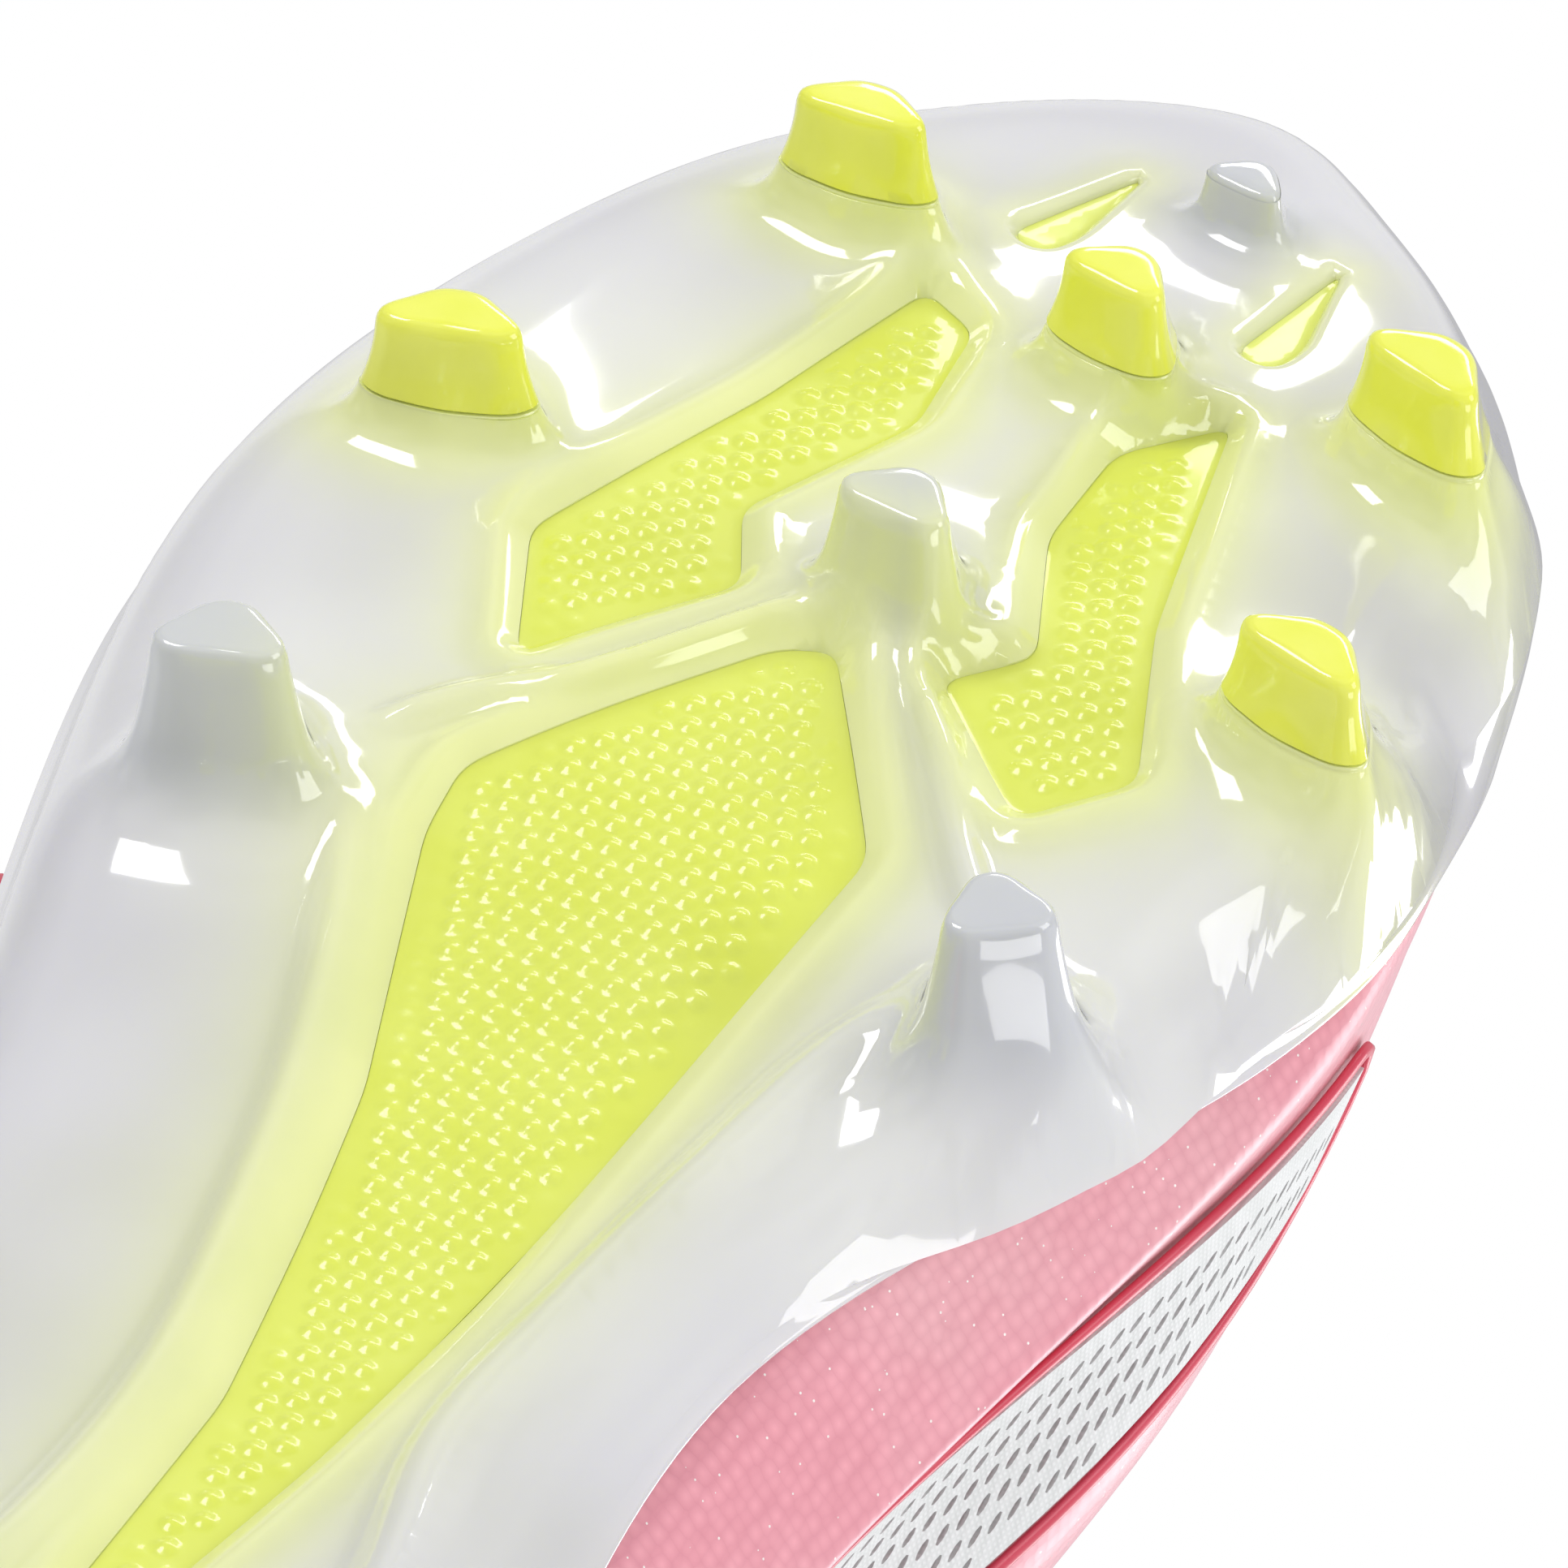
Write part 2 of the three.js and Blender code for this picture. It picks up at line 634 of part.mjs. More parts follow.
const heelTab = { u: 0, from: 6, length: 31, slot: 5, under: gap + trimThickness };
const instepTab = { u: 0.5, from: 6.45, length: 36, slot: 4.6, under: 0 };

const finishes = {
  clear: { color: 0xe9e7ee, roughness: 0.12, metalness: 0, transparent: true, opacity: 0.9 },
  yellow: { color: 0xe9f52a, roughness: 0.4, metalness: 0 },
  yellowTip: { color: 0xe4ee1c, roughness: 0.2, metalness: 0 },
  knit: { color: 0xe7809a, roughness: 0.7, metalness: 0 },
  collar: { color: 0xe37f98, roughness: 0.85, metalness: 0 },
  white: { color: 0xf2f2f2, roughness: 0.6, metalness: 0 },
  red: { color: 0xd3203a, roughness: 0.5, metalness: 0 },
  lining: { color: 0xf0c3cd, roughness: 0.9, metalness: 0 },
  foam: { color: 0xe8e4d8, roughness: 0.95, metalness: 0 },
  board: { color: 0xe6e2da, roughness: 0.9, metalness: 0 },
  webbing: { color: 0xf3f3f1, roughness: 0.8, metalness: 0 },
  stiffener: { color: 0xdedbd2, roughness: 0.6, metalness: 0 },
};

const pieces = [];
const piece = (name, geometry, finish) => pieces.push({ name, geometry, finish });

piece('soleplate', makeSoleplate(), 'clear');
piece('stiffening_frame', makeStiffeningFrame(), 'yellow');
for (const stud of studs.filter(({ tipped }) => tipped)) {
  piece(`stud_tip_${stud.name}`, studTip(stud), 'yellowTip');
}

piece('bottom_filler', flatSheet(marginLevel - 0.08, gap, fillerThickness - gap), 'foam');
piece('lasting_board', flatSheet(1.9, boardDepth, boardThickness), 'board');
piece('sockliner_foam', flatSheet(1.6, foamDepth, footbedFoam), 'foam');
piece('sockliner_cloth', flatSheet(1.55, clothDepth, footbedCloth), 'lining');

const upperTop = (u) => collarEdge(u) - seamGap;
const liningTop = (u) => collarEdge(u) - 0.1;
const counterInner = counterDepth + counterThickness;
const puffInner = counterDepth + puffThickness;
const vampDepth = puffInner + gap;
const collarFoamInner = counterDepth + collarFoamThickness;
const trimOuter = -(gap + trimThickness);
piece('knit_upper', wallAllRound(wallSection(marginLevel, upperTop, 0, upperThickness)), 'knit');
piece('knit_collar', wallAllRound(wallSection(collarEdge, level.collar, 0, upperThickness)), 'collar');
const counterWall = wallSection(2.2, counterTop, counterDepth, counterInner);
const collarFoamWall = wallSection(collarFoamFrom, 6.8, counterDepth, collarFoamInner);
piece('heel_counter', wallBetween(-7, 7, counterWall), 'stiffener');
piece('collar_foam', wallBetween(-9, 9, collarFoamWall), 'foam');
piece('quarter_lining', wallBetween(-11, 11, wallSection(2.2, 6.9, liningAt(0), liningAt(liningThickness))),
  'lining');
piece('toe_puff', wallBetween(17, 25, wallSection(2.2, 4.5, counterDepth, puffInner)), 'stiffener');
piece('vamp_lining', wallBetween(12, 30, wallSection(2.2, liningTop, vampDepth, vampDepth + 0.5)), 'lining');
piece('heel_backstay', wallBetween(-2, 2, wallSection(4, 6.5, trimOuter, -gap)), 'white');
for (const vent of vents) {
  piece(`vent_panel_${vent.name}`, ventPanel(vent), 'white');
  piece(`vent_piping_${vent.name}`, ventPiping(vent), 'red');
}
piece('heel_pull_tab', pullTab(heelTab), 'webbing');
piece('instep_pull_tab', pullTab(instepTab), 'webbing');

// The frame's origin is on the ground under the middle of the boot.
const boot = new THREE.Group();
for (const { name, geometry, finish } of pieces) {
  const mesh = new THREE.Mesh(geometry, new THREE.MeshStandardMaterial(finishes[finish]));
  mesh.name = name;
  boot.add(mesh);
}
const extent = new THREE.Box3().setFromObject(boot);
const middle = extent.getCenter(new THREE.Vector3());
for (const mesh of boot.children) {
  mesh.position.set(-middle.x, -middle.y, -extent.min.z);
}

export default boot;
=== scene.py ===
import math
from collections import namedtuple

import bpy
import numpy as np
from mathutils import Matrix, Vector
from mathutils.bvhtree import BVHTree
from mathutils.geometry import delaunay_2d_cdt


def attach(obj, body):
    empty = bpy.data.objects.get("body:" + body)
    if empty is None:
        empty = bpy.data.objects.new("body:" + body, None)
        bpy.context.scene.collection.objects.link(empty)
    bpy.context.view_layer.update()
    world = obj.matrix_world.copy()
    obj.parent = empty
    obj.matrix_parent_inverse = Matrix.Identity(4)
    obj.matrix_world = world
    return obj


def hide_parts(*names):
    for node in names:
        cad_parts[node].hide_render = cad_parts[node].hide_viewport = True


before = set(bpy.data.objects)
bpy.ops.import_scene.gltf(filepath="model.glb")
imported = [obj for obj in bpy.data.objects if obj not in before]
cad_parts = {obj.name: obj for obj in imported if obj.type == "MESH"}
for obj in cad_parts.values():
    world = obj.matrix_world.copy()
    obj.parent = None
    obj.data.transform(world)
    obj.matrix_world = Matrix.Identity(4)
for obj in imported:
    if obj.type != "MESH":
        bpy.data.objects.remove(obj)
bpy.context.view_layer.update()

# ---------------------------------------------------------------------------
# The boot's pattern, in millimetres from the back of the heel: +X to the toe,
# +Y to the medial side. MIDDLE is the middle of the boot's box in that pattern.
# ---------------------------------------------------------------------------
MIDDLE = np.array([135.1467, -6.49655, 0.0])
MM = 0.001
SOLE_STACK = 4.0
UNDERSIDE = [(0, 15), (38, 13), (108, 18), (152, 13), (190, 12), (226, 13), (256, 17.2), (276, 25)]
WIDEST = [(0, 0), (9, -21.1), (38, -33.5), (108, -42), (178, -59.5), (225, -50.5), (257, -31), (271, -10),
          (260, 9.5), (238, 27), (190, 41.5), (112, 34), (38, 33.5), (9, 21.1)]
COLLAR = [(11, 0, 92), (17, -13.5, 90), (37, -24.3, 82), (65, -27, 77), (94, -24.03, 85.1),
          (111, -16.2, 97.52), (120, -7.56, 103), (122, 0, 104), (120, 7.56, 103), (111, 16.2, 98.06),
          (94, 24.03, 86.45), (65, 27, 79), (37, 24.3, 82), (17, 13.5, 90)]


def mirrored(half):
    return half + half[1:-1][::-1]


SHAPING = [
    (0.13, mirrored([0, 0, 0, 0, 2, 4, 5, 6]), mirrored([2, 2, 2, 3, 5, 5, 5, 5])),
    (0.4, mirrored([0, 0, 0, 2, 4, 4, -1, -4]), mirrored([3, 3, 4, 5, 9, 8, 4, 1])),
    (0.72, mirrored([0, 0, 0, 0, 1, 1, -3, -6]), mirrored([1, 1, 2, 3, 5, 5, 2, 0])),
]
PLATE_EDGE = [3.7, 3.65, 3.45, 2.9, 3, 3.25, 3.5, 3.7, 3.6, 3.6, 3.14, 2.02, 2.9, 3.6]
TOE_SWING = -10.0
BOOT_LENGTH = 271
SPINE_BACK, SPINE_FRONT, SWING_FROM = 26.0, 237.0, 120
EDGE_INSET, EDGE_LIFT, WIDEST_LIFT = 8, 0.8, 11
# Levels run up the upper from the middle of the sole to the collar's rim.
TOP_LEVEL = 7
STEPS = 42
# The upper is drawn in by this much over the medial arch.
ARCH_PULL, ARCH_AT, ARCH_REACH = 8.5, 0.765, 0.055


def ease(a, b, x):
    s = np.clip((np.asarray(x, float) - a) / (b - a), 0, 1)
    return s * s * (3 - 2 * s)


def follow(pairs, x):
    """A smooth curve through (place, value) pairs."""
    xs = np.array([p[0] for p in pairs], float)
    zs = np.array([p[1] for p in pairs], float)
    n = len(xs)
    place = np.clip(np.asarray(x, float), xs[0], xs[-1])
    i = np.clip(np.searchsorted(xs, place, side="left") - 1, 0, n - 2)
    before, after = np.maximum(np.arange(n) - 1, 0), np.minimum(np.arange(n) + 1, n - 1)
    slope = (zs[after] - zs[before]) / (xs[after] - xs[before])
    span = xs[i + 1] - xs[i]
    s = (place - xs[i]) / span
    return ((2 * s**3 - 3 * s**2 + 1) * zs[i] + (3 * s**2 - 2 * s**3) * zs[i + 1]
            + (s**3 - 2 * s**2 + s) * span * slope[i] + (s**3 - s**2) * span * slope[i + 1])


def bottom_of(x):
    return follow(UNDERSIDE, x) + SOLE_STACK


def spine_point(x):
    place = min(max(x, SPINE_BACK), SPINE_FRONT)
    swing = TOE_SWING * max(0.0, (place - SWING_FROM) / BOOT_LENGTH)
    return np.array([place, swing, float(bottom_of(place))])


def make_rings():
    widest = [np.array([x, y, float(bottom_of(x)) + WIDEST_LIFT]) for x, y in WIDEST]
    edge = []
    for p in widest:
        toward = (spine_point(p[0]) - p) * [1, 1, 0]
        inner = p + toward / np.linalg.norm(toward) * EDGE_INSET
        inner[2] = float(bottom_of(inner[0])) + EDGE_LIFT
        edge.append(inner)
    spine = [spine_point(p[0]) for p in edge]
    half = []
    for p, s in zip(edge, spine):
        middle = (p + s) / 2
        middle[2] = float(bottom_of(middle[0]))
        half.append(middle)
    collar = [np.array(p, float) for p in COLLAR]
    sides = []
    for share, up, out in SHAPING:
        ring = []
        for i, p in enumerate(widest):
            outward = (p - spine[i]) * [1, 1, 0]
            placed = p + (collar[i] - p) * share + outward / np.linalg.norm(outward) * out[i]
            placed[2] += up[i]
            ring.append(placed)
        sides.append(ring)
    return np.array([spine, half, edge, widest, *sides, collar], float)


def catmull(p0, p1, p2, p3, w):
    """One centripetal span from p1 to p2."""
    def knot(a, b):
        return np.sum((b - a) ** 2, -1) ** 0.25
    d0, d1, d2 = knot(p0, p1), knot(p1, p2), knot(p2, p3)
    d1 = np.where(d1 < 1e-4, 1.0, d1)
    d0 = np.where(d0 < 1e-4, d1, d0)
    d2 = np.where(d2 < 1e-4, d1, d2)
    d0, d1, d2, w = (v[..., None] for v in (d0, d1, d2, w))
    t1 = ((p1 - p0) / d0 - (p2 - p0) / (d0 + d1) + (p2 - p1) / d1) * d1
    t2 = ((p2 - p1) / d1 - (p3 - p1) / (d1 + d2) + (p3 - p2) / d2) * d1
    return (p1 + t1 * w + (-3 * p1 + 3 * p2 - 2 * t1 - t2) * w**2 + (2 * p1 - 2 * p2 + t1 + t2) * w**3)


RINGS = make_rings()


def last_point(u, level):
    """The outer face of the upper. u goes round once from the back of the heel, level from sole to collar."""
    u, level = np.broadcast_arrays(np.asarray(u, float) % 1.0, np.asarray(level, float))
    shape = u.shape
    u, level = u.ravel(), np.clip(level.ravel(), 0, TOP_LEVEL)
    count = RINGS.shape[1]
    i = np.floor(u * count).astype(int)
    w = u * count - i
    ribs = np.stack([catmull(r[(i - 1) % count], r[i % count], r[(i + 1) % count], r[(i + 2) % count], w)
                     for r in RINGS], 1)
    first, final = 2 * ribs[:, :1] - ribs[:, 1:2], 2 * ribs[:, -1:] - ribs[:, -2:-1]
    ribs = np.concatenate([first, ribs, final], 1)
    k = np.minimum(np.floor(level).astype(int), TOP_LEVEL - 1)
    rows = np.arange(len(u))
    point = catmull(ribs[rows, k], ribs[rows, k + 1], ribs[rows, k + 2], ribs[rows, k + 3], level - k)
    near_arch = (np.exp(-((u - ARCH_AT) / ARCH_REACH) ** 2) * ease(3.3, 4.6, level)
                 * (1 - ease(5.2, 6.6, level)))
    point[:, 1] -= ARCH_PULL * near_arch
    return point.reshape(*shape, 3)


def outward_at(u, level):
    """The way out of the upper's face, straight down under the sole."""
    du, dr = 0.004, 0.03
    place = np.clip(level, 0.5, TOP_LEVEL - dr)
    around = last_point(u + du, place) - last_point(u - du, place)
    rising = last_point(u, place + dr) - last_point(u, place - dr)
    normal = np.cross(around, rising)
    normal /= np.linalg.norm(normal, axis=-1, keepdims=True)
    flat = np.clip((1.3 - np.asarray(level)) / 0.8, 0, 1)[..., None]
    normal = normal * (1 - flat) + np.array([0, 0, -1.0]) * flat
    return normal / np.linalg.norm(normal, axis=-1, keepdims=True)


def skin(u, level, depth):
    """A place on the boot's skin; depth goes inwards from the upper's outer face."""
    u, level = np.asarray(u, float), np.asarray(level, float)
    depth = np.broadcast_to(np.asarray(depth, float), np.broadcast(u, level).shape)
    return last_point(u, level) - outward_at(u, level) * depth[..., None]


def round_value(values, u):
    """A value given at even places round the boot, eased between them."""
    place = (np.asarray(u, float) % 1.0) * len(values)
    i = np.floor(place).astype(int)
    share = ease(0, 1, place - i)
    table = np.array(values, float)
    return table[i % len(values)] * (1 - share) + table[(i + 1) % len(values)] * share


def plate_edge(u):
    return round_value(PLATE_EDGE, u)


def frame_edge(u):
    return np.minimum(1.72, plate_edge(u) - 0.35)


def collar_edge(u):
    away = np.abs(np.asarray(u, float) % 1.0 - 0.5) / 0.09
    return 6.35 - 0.75 * np.where(away < 1, np.cos(np.minimum(away, 1) * math.pi / 2), 0) ** 1.5


def placed(points):
    """Pattern millimetres to metres in the boot's own frame."""
    return (np.asarray(points, float) - MIDDLE) * MM


# ---------------------------------------------------------------------------
# Studio: camera under the forefoot, pale floor, soft lights above and below.
# ---------------------------------------------------------------------------
def studio():
    azimuth, elevation, roll = (math.radians(a) for a in (150.617, 40.892, 0.56))
    target, distance = Vector((0.01605, 0.01678, 0.0)), 0.672
    toward = Vector((math.cos(elevation) * math.cos(azimuth), math.cos(elevation) * math.sin(azimuth),
                     -math.sin(elevation)))
    ahead = -toward
    right = ahead.cross(Vector((0, 0, -1))).normalized()
    up = right.cross(ahead)
    right, up = (right * math.cos(roll) + up * math.sin(roll), up * math.cos(roll) - right * math.sin(roll))
    data = bpy.data.cameras.new("studio_camera")
    data.lens, data.sensor_width = 212.88, 36
    data.clip_start, data.clip_end = 0.02, 20
    camera = bpy.data.objects.new("studio_camera", data)
    bpy.context.scene.collection.objects.link(camera)
    camera.matrix_world = Matrix([[right.x, up.x, toward.x, 0], [right.y, up.y, toward.y, 0],
                                  [right.z, up.z, toward.z, 0], [0, 0, 0, 1]])
    camera.location = target + toward * distance
    bpy.context.scene.camera = camera

    def softbox(name, direction, distance, wide, tall, power):
        lamp = bpy.data.lights.new(name, "AREA")
        lamp.shape, lamp.size, lamp.size_y, lamp.energy = "RECTANGLE", wide, tall, power
        box = bpy.data.objects.new(name, lamp)
        bpy.context.scene.collection.objects.link(box)
        way = Vector(direction).normalized()
        box.location = way * distance
        box.rotation_euler = way.to_track_quat("Z", "Y").to_euler()
        box.visible_camera = False

    softbox("key_below", toward * 0.5 + up * 0.95 - right * 0.45, 0.8, 0.26, 0.3, 2.1)
    softbox("side_below", toward * 0.55 + right * 1.0 + up * 0.05, 0.8, 0.45, 0.5, 1.9)
    softbox("back_below", toward * -0.35 + up * 1.0 + right * 0.35, 0.9, 0.5, 0.12, 1.2)
    softbox("low_below", toward * 0.5 - up * 0.8 + right * 0.5, 0.9, 0.5, 0.25, 1.0)
    softbox("key_above", (-0.5, -0.7, 1.0), 1.1, 0.5, 0.5, 5.0)
    softbox("fill_above", (0.8, 0.6, 0.9), 1.1, 0.4, 0.6, 3.0)

    world = bpy.data.worlds.new("pale_studio")
    bpy.context.scene.world = world
    world.use_nodes = True
    nodes, links = world.node_tree.nodes, world.node_tree.links
    sky = nodes["Background"]
    path = nodes.new("ShaderNodeLightPath")
    back = nodes.new("ShaderNodeBackground")
    back.inputs["Color"].default_value = (1, 1, 1, 1)
    back.inputs["Strength"].default_value = 1.0
    place = nodes.new("ShaderNodeTexCoord")
    patches = nodes.new("ShaderNodeTexNoise")
    patches.inputs["Scale"].default_value = 1.6
    patches.inputs["Detail"].default_value = 1.0
    ramp = nodes.new("ShaderNodeValToRGB")
    ramp.color_ramp.elements[0].position = 0.38
    ramp.color_ramp.elements[0].color = (0.46, 0.46, 0.48, 1)
    ramp.color_ramp.elements[1].position = 0.62
    ramp.color_ramp.elements[1].color = (0.86, 0.86, 0.87, 1)
    mix = nodes.new("ShaderNodeMixShader")
    links.new(place.outputs["Generated"], patches.inputs["Vector"])
    links.new(patches.outputs["Fac"], ramp.inputs["Fac"])
    links.new(ramp.outputs["Color"], sky.inputs["Color"])
    sky.inputs["Strength"].default_value = 0.92
    links.new(path.outputs["Is Camera Ray"], mix.inputs["Fac"])
    links.new(sky.outputs["Background"], mix.inputs[1])
    links.new(back.outputs["Background"], mix.inputs[2])
    links.new(mix.outputs["Shader"], nodes["World Output"].inputs["Surface"])
    bpy.context.scene.view_settings.view_transform = "Standard"

    bpy.ops.mesh.primitive_plane_add(size=6, location=(0, 0, -0.0006))
    floor = bpy.context.object
    floor.name = "studio_floor"
    paint = bpy.data.materials.new("pale_floor")
    paint.use_nodes = True
    nodes, links = paint.node_tree.nodes, paint.node_tree.links
    nodes["Principled BSDF"].inputs["Base Color"].default_value = (0.86, 0.86, 0.87, 1)
    nodes["Principled BSDF"].inputs["Roughness"].default_value = 0.7
    side = nodes.new("ShaderNodeNewGeometry")
    clear = nodes.new("ShaderNodeBsdfTransparent")
    mix = nodes.new("ShaderNodeMixShader")
    links.new(side.outputs["Backfacing"], mix.inputs["Fac"])
    links.new(nodes["Principled BSDF"].outputs["BSDF"], mix.inputs[1])
    links.new(clear.outputs["BSDF"], mix.inputs[2])
    links.new(mix.outputs["Shader"], nodes["Material Output"].inputs["Surface"])
    floor.data.materials.append(paint)
    floor.visible_shadow = floor.visible_diffuse = floor.visible_glossy = floor.visible_transmission = False


bpy.ops.object.select_all(action="DESELECT")
studio()

# ---------------------------------------------------------------------------
# Finishes
# ---------------------------------------------------------------------------
def finish(name, roughness, **sockets):
    """A new material: its node tree, links and main shader."""
    made = bpy.data.materials.new(name)
    made.use_nodes = True
    shader = made.node_tree.nodes["Principled BSDF"]
    shader.inputs["Roughness"].default_value = roughness
    for socket, value in sockets.items():
        shader.inputs[socket.replace("_", " ")].default_value = value
    return made, made.node_tree.nodes, made.node_tree.links, shader


def node(nodes, kind, **values):
    made = nodes.new("ShaderNode" + kind)
    for key, value in values.items():
        if key in made.inputs:
            made.inputs[key].default_value = value
        else:
            setattr(made, key, value)
    return made


def own_coords(nodes, which="Object"):
    return node(nodes, "TexCoord").outputs[which]


def noise(nodes, links, scale, detail=2.0, where=None):
    made = node(nodes, "TexNoise", Scale=scale, Detail=detail)
    links.new(where or own_coords(nodes), made.inputs["Vector"])
    return made.outputs["Fac"]


def ramp(nodes, links, source, stops):
    made = nodes.new("ShaderNodeValToRGB")
    elements = made.color_ramp.elements
    while len(elements) < len(stops):
        elements.new(0.5)
    for element, (place, colour) in zip(elements, stops):
        element.position = place
        element.color = (*colour, 1) if len(colour) == 3 else colour
    links.new(source, made.inputs["Fac"])
    return made.outputs["Color"]


def sum_up(nodes, links, operation, a, b):
    made = nodes.new("ShaderNodeMath")
    made.operation = operation
    for socket, value in zip(made.inputs, (a, b)):
        if isinstance(value, (int, float)):
            socket.default_value = value
        else:
            links.new(value, socket)
    return made.outputs[0]


def blend(nodes, links, share, a, b):
    made = node(nodes, "Mix", data_type="RGBA")
    for socket, value in ((made.inputs[0], share), (made.inputs[6], a), (made.inputs[7], b)):
        if isinstance(value, (int, float)):
            socket.default_value = value
        elif isinstance(value, tuple):
            socket.default_value = (*value, 1)
        else:
            links.new(value, socket)
    return made.outputs[2]


def raise_up(nodes, links, shader, height, distance, strength=1.0):
    bump = node(nodes, "Bump", Strength=strength, Distance=distance)
    links.new(height, bump.inputs["Height"])
    links.new(bump.outputs["Normal"], shader.inputs["Normal"])
    return bump


def plain_cloth(name, dark, light, pitch, roughness=0.85, height=0.0001, sheen=0.2):
    """Woven or brushed cloth: two fine crossing rows of thread, with a slow change of shade."""
    made, nodes, links, shader = finish(name, roughness, Sheen_Weight=sheen, Sheen_Roughness=0.5)
    where = own_coords(nodes)
    threads = []
    for axis in ("X", "Y", "Z"):
        wave = node(nodes, "TexWave", Scale=1 / pitch / 6.283 * 2, Distortion=1.2, bands_direction=axis)
        links.new(where, wave.inputs["Vector"])
        threads.append(wave.outputs["Fac"])
    crossed = sum_up(nodes, links, "MULTIPLY", threads[0], threads[2])
    crossed = sum_up(nodes, links, "ADD", crossed, sum_up(nodes, links, "MULTIPLY", threads[1], 0.5))
    slow = noise(nodes, links, 60, 3)
    shade = sum_up(nodes, links, "ADD", sum_up(nodes, links, "MULTIPLY", crossed, 0.45),
                   sum_up(nodes, links, "MULTIPLY", slow, 0.55))
    links.new(ramp(nodes, links, shade, [(0.2, dark), (0.8, light)]), shader.inputs["Base Color"])
    raise_up(nodes, links, shader, crossed, height)
    return made


def foam(name, dark, light, cell=900):
    made, nodes, links, shader = finish(name, 0.95)
    cells = node(nodes, "TexVoronoi", Scale=cell)
    links.new(own_coords(nodes), cells.inputs["Vector"])
    links.new(ramp(nodes, links, cells.outputs["Distance"], [(0.1, light), (0.8, dark)]),
              shader.inputs["Base Color"])
    raise_up(nodes, links, shader, cells.outputs["Distance"], 0.0002, 0.6)
    return made


def moulded(name, dark, light, roughness, coat=0.0, grain=1200, depth=0.00002, **sockets):
    made, nodes, links, shader = finish(name, roughness, Coat_Weight=coat, Coat_Roughness=0.04, **sockets)
    links.new(ramp(nodes, links, noise(nodes, links, 45, 3), [(0.3, dark), (0.7, light)]),
              shader.inputs["Base Color"])
    raise_up(nodes, links, shader, noise(nodes, links, grain, 2), depth, 0.5)
    return made


def pearl_plate():
    """Clear moulding over white, with a painted glow: a lime tint stands for the yellow frame's light seen
    through the plate near the windows and the tipped studs.
    """
    made, nodes, links, shader = finish("pearl_clear_plate", 0.1, Coat_Weight=1.0, Coat_Roughness=0.03,
                                        Subsurface_Weight=0.25, Subsurface_Scale=0.003,
                                        Specular_IOR_Level=0.6)
    shader.inputs["Subsurface Radius"].default_value = (1.0, 1.0, 0.5)
    # Painted glow: the per-point glow attribute tints the plate lime where the yellow frame's light would
    # show through it.
    glow = node(nodes, "Attribute", attribute_name="glow").outputs["Fac"]
    slow = noise(nodes, links, 22, 2)
    fine = noise(nodes, links, 70, 3)
    white = ramp(nodes, links, slow, [(0.32, (0.62, 0.62, 0.60)), (0.5, (0.70, 0.695, 0.73)),
                                      (0.68, (0.78, 0.78, 0.78))])
    lime = ramp(nodes, links, fine, [(0.3, (0.85, 0.91, 0.31)), (0.7, (0.90, 0.94, 0.41))])
    thick = node(nodes, "Attribute", attribute_name="thick").outputs["Fac"]
    white = blend(nodes, links, thick, white, (0.56, 0.58, 0.62))
    # How much of the painted glow's lime tint to use, broken up by fine noise.
    painted_glow_share = sum_up(nodes, links, "MULTIPLY", glow, sum_up(nodes, links, "ADD", 0.82,
                    sum_up(nodes, links, "MULTIPLY", fine, 0.36)))
    links.new(blend(nodes, links, painted_glow_share, white, lime), shader.inputs["Base Color"])
    raise_up(nodes, links, shader, noise(nodes, links, 160, 1), 0.00006, 0.5)
    return made


def yellow_moulding(name, roughness, coat, deep, light):
    made, nodes, links, shader = finish(name, roughness, Coat_Weight=coat, Coat_Roughness=0.05,
                                        Subsurface_Weight=0.2, Subsurface_Scale=0.002)
    shader.inputs["Subsurface Radius"].default_value = (1.0, 1.0, 0.2)
    links.new(ramp(nodes, links, noise(nodes, links, 120, 3), [(0.3, deep), (0.7, light)]),
              shader.inputs["Base Color"])
    raise_up(nodes, links, shader, noise(nodes, links, 900, 2), 0.00001, 0.4)
    return made


